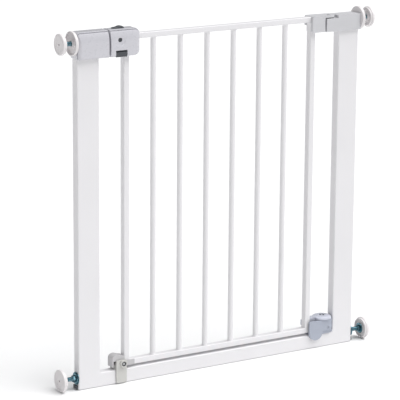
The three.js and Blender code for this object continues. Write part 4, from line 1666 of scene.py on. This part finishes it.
# ---- Studio --------------------------------------------------------------------------------------
@dataclass
class SoftLight:
    """A broad distant light with soft shadows."""

    name: str
    source: Vector
    spread: float
    strength: float

    def build(self) -> None:
        """Hangs the light so that it shines from its source towards the gate."""
        data = bpy.data.lights.new(self.name, "SUN")
        data.angle = math.radians(self.spread)
        data.energy = self.strength
        light = bpy.data.objects.new(self.name, data)
        light.location = self.source
        light.rotation_mode = "QUATERNION"
        light.rotation_quaternion = (-self.source).to_track_quat("-Z", "Y")
        bpy.context.scene.collection.objects.link(light)


@dataclass
class Studio:
    """A pale floor, soft light and the camera."""

    floor_size: float = 40.0
    sky: float = 0.31
    target: Vector = field(default_factory=lambda: Vector((-0.0476, 0.0, 0.3775)))
    azimuth: float = -31.42
    elevation: float = 13.656
    roll: float = 0.418
    distance: float = 4.7719
    lens: float = 199.2
    light: SoftLight = field(
        default_factory=lambda: SoftLight("overhead", Vector((0.9, -1.05, 3.0)), 60.0, 3.08))

    def floor(self) -> None:
        """Lays the floor."""
        reach = self.floor_size / 2 / MM
        floor = skin("floor", [Vector((x, y, -0.4)) for x, y in (
            (-reach, -reach), (reach, -reach), (reach, reach), (-reach, reach))], [[0, 1, 2, 3]])
        sheet = NodeSheet("floor")
        sheet.set(Base_Color=(0.93, 0.93, 0.93, 1.0), Roughness=0.8)
        sheet.shader.inputs["Specular IOR Level"].default_value = 0.1
        sheet.relief((sheet.noise(90.0, 2.0), 0.05, 0.2))
        floor.data.materials.append(sheet.material)

    def world(self) -> None:
        """Sets an even pale surround."""
        world = bpy.data.worlds.new("surround")
        bpy.context.scene.world = world
        world.use_nodes = True
        world.node_tree.nodes["Background"].inputs["Color"].default_value = (0.97, 0.98, 1.0, 1.0)
        world.node_tree.nodes["Background"].inputs["Strength"].default_value = self.sky

    def camera(self) -> None:
        """Places the camera."""
        a, e = math.radians(self.azimuth), math.radians(self.elevation)
        back = Vector((math.sin(a) * math.cos(e), -math.cos(a) * math.cos(e), math.sin(e)))
        data = bpy.data.cameras.new("camera")
        data.lens = self.lens
        data.sensor_width = 36.0
        data.clip_end = 100.0
        camera = bpy.data.objects.new("camera", data)
        camera.location = self.target + back * self.distance
        camera.rotation_mode = "QUATERNION"
        turn = Quaternion((0.0, 0.0, 1.0), math.radians(self.roll))
        camera.rotation_quaternion = (-back).to_track_quat("-Z", "Y") @ turn
        bpy.context.scene.collection.objects.link(camera)
        bpy.context.scene.camera = camera

    def build(self) -> None:
        """Builds the studio."""
        self.floor()
        self.world()
        self.camera()
        self.light.build()
        bpy.context.scene.view_settings.view_transform = "Standard"


def main() -> None:
    """Builds the gate sub-assembly by sub-assembly, then the studio."""
    logging.basicConfig(level=logging.INFO, format="%(name)s %(message)s")
    parts = [WeldedFrame(), DoorPanel(), LatchKeeper(), LatchHandle()]
    parts += [UpperHinge(), LowerHinge(), BottomCatch()]
    parts += [WallFixing(side, upper) for side in Side for upper in (True, False)]
    for part in parts:
        part.build()
    Studio().build()


if __name__ == "__main__":
    main()
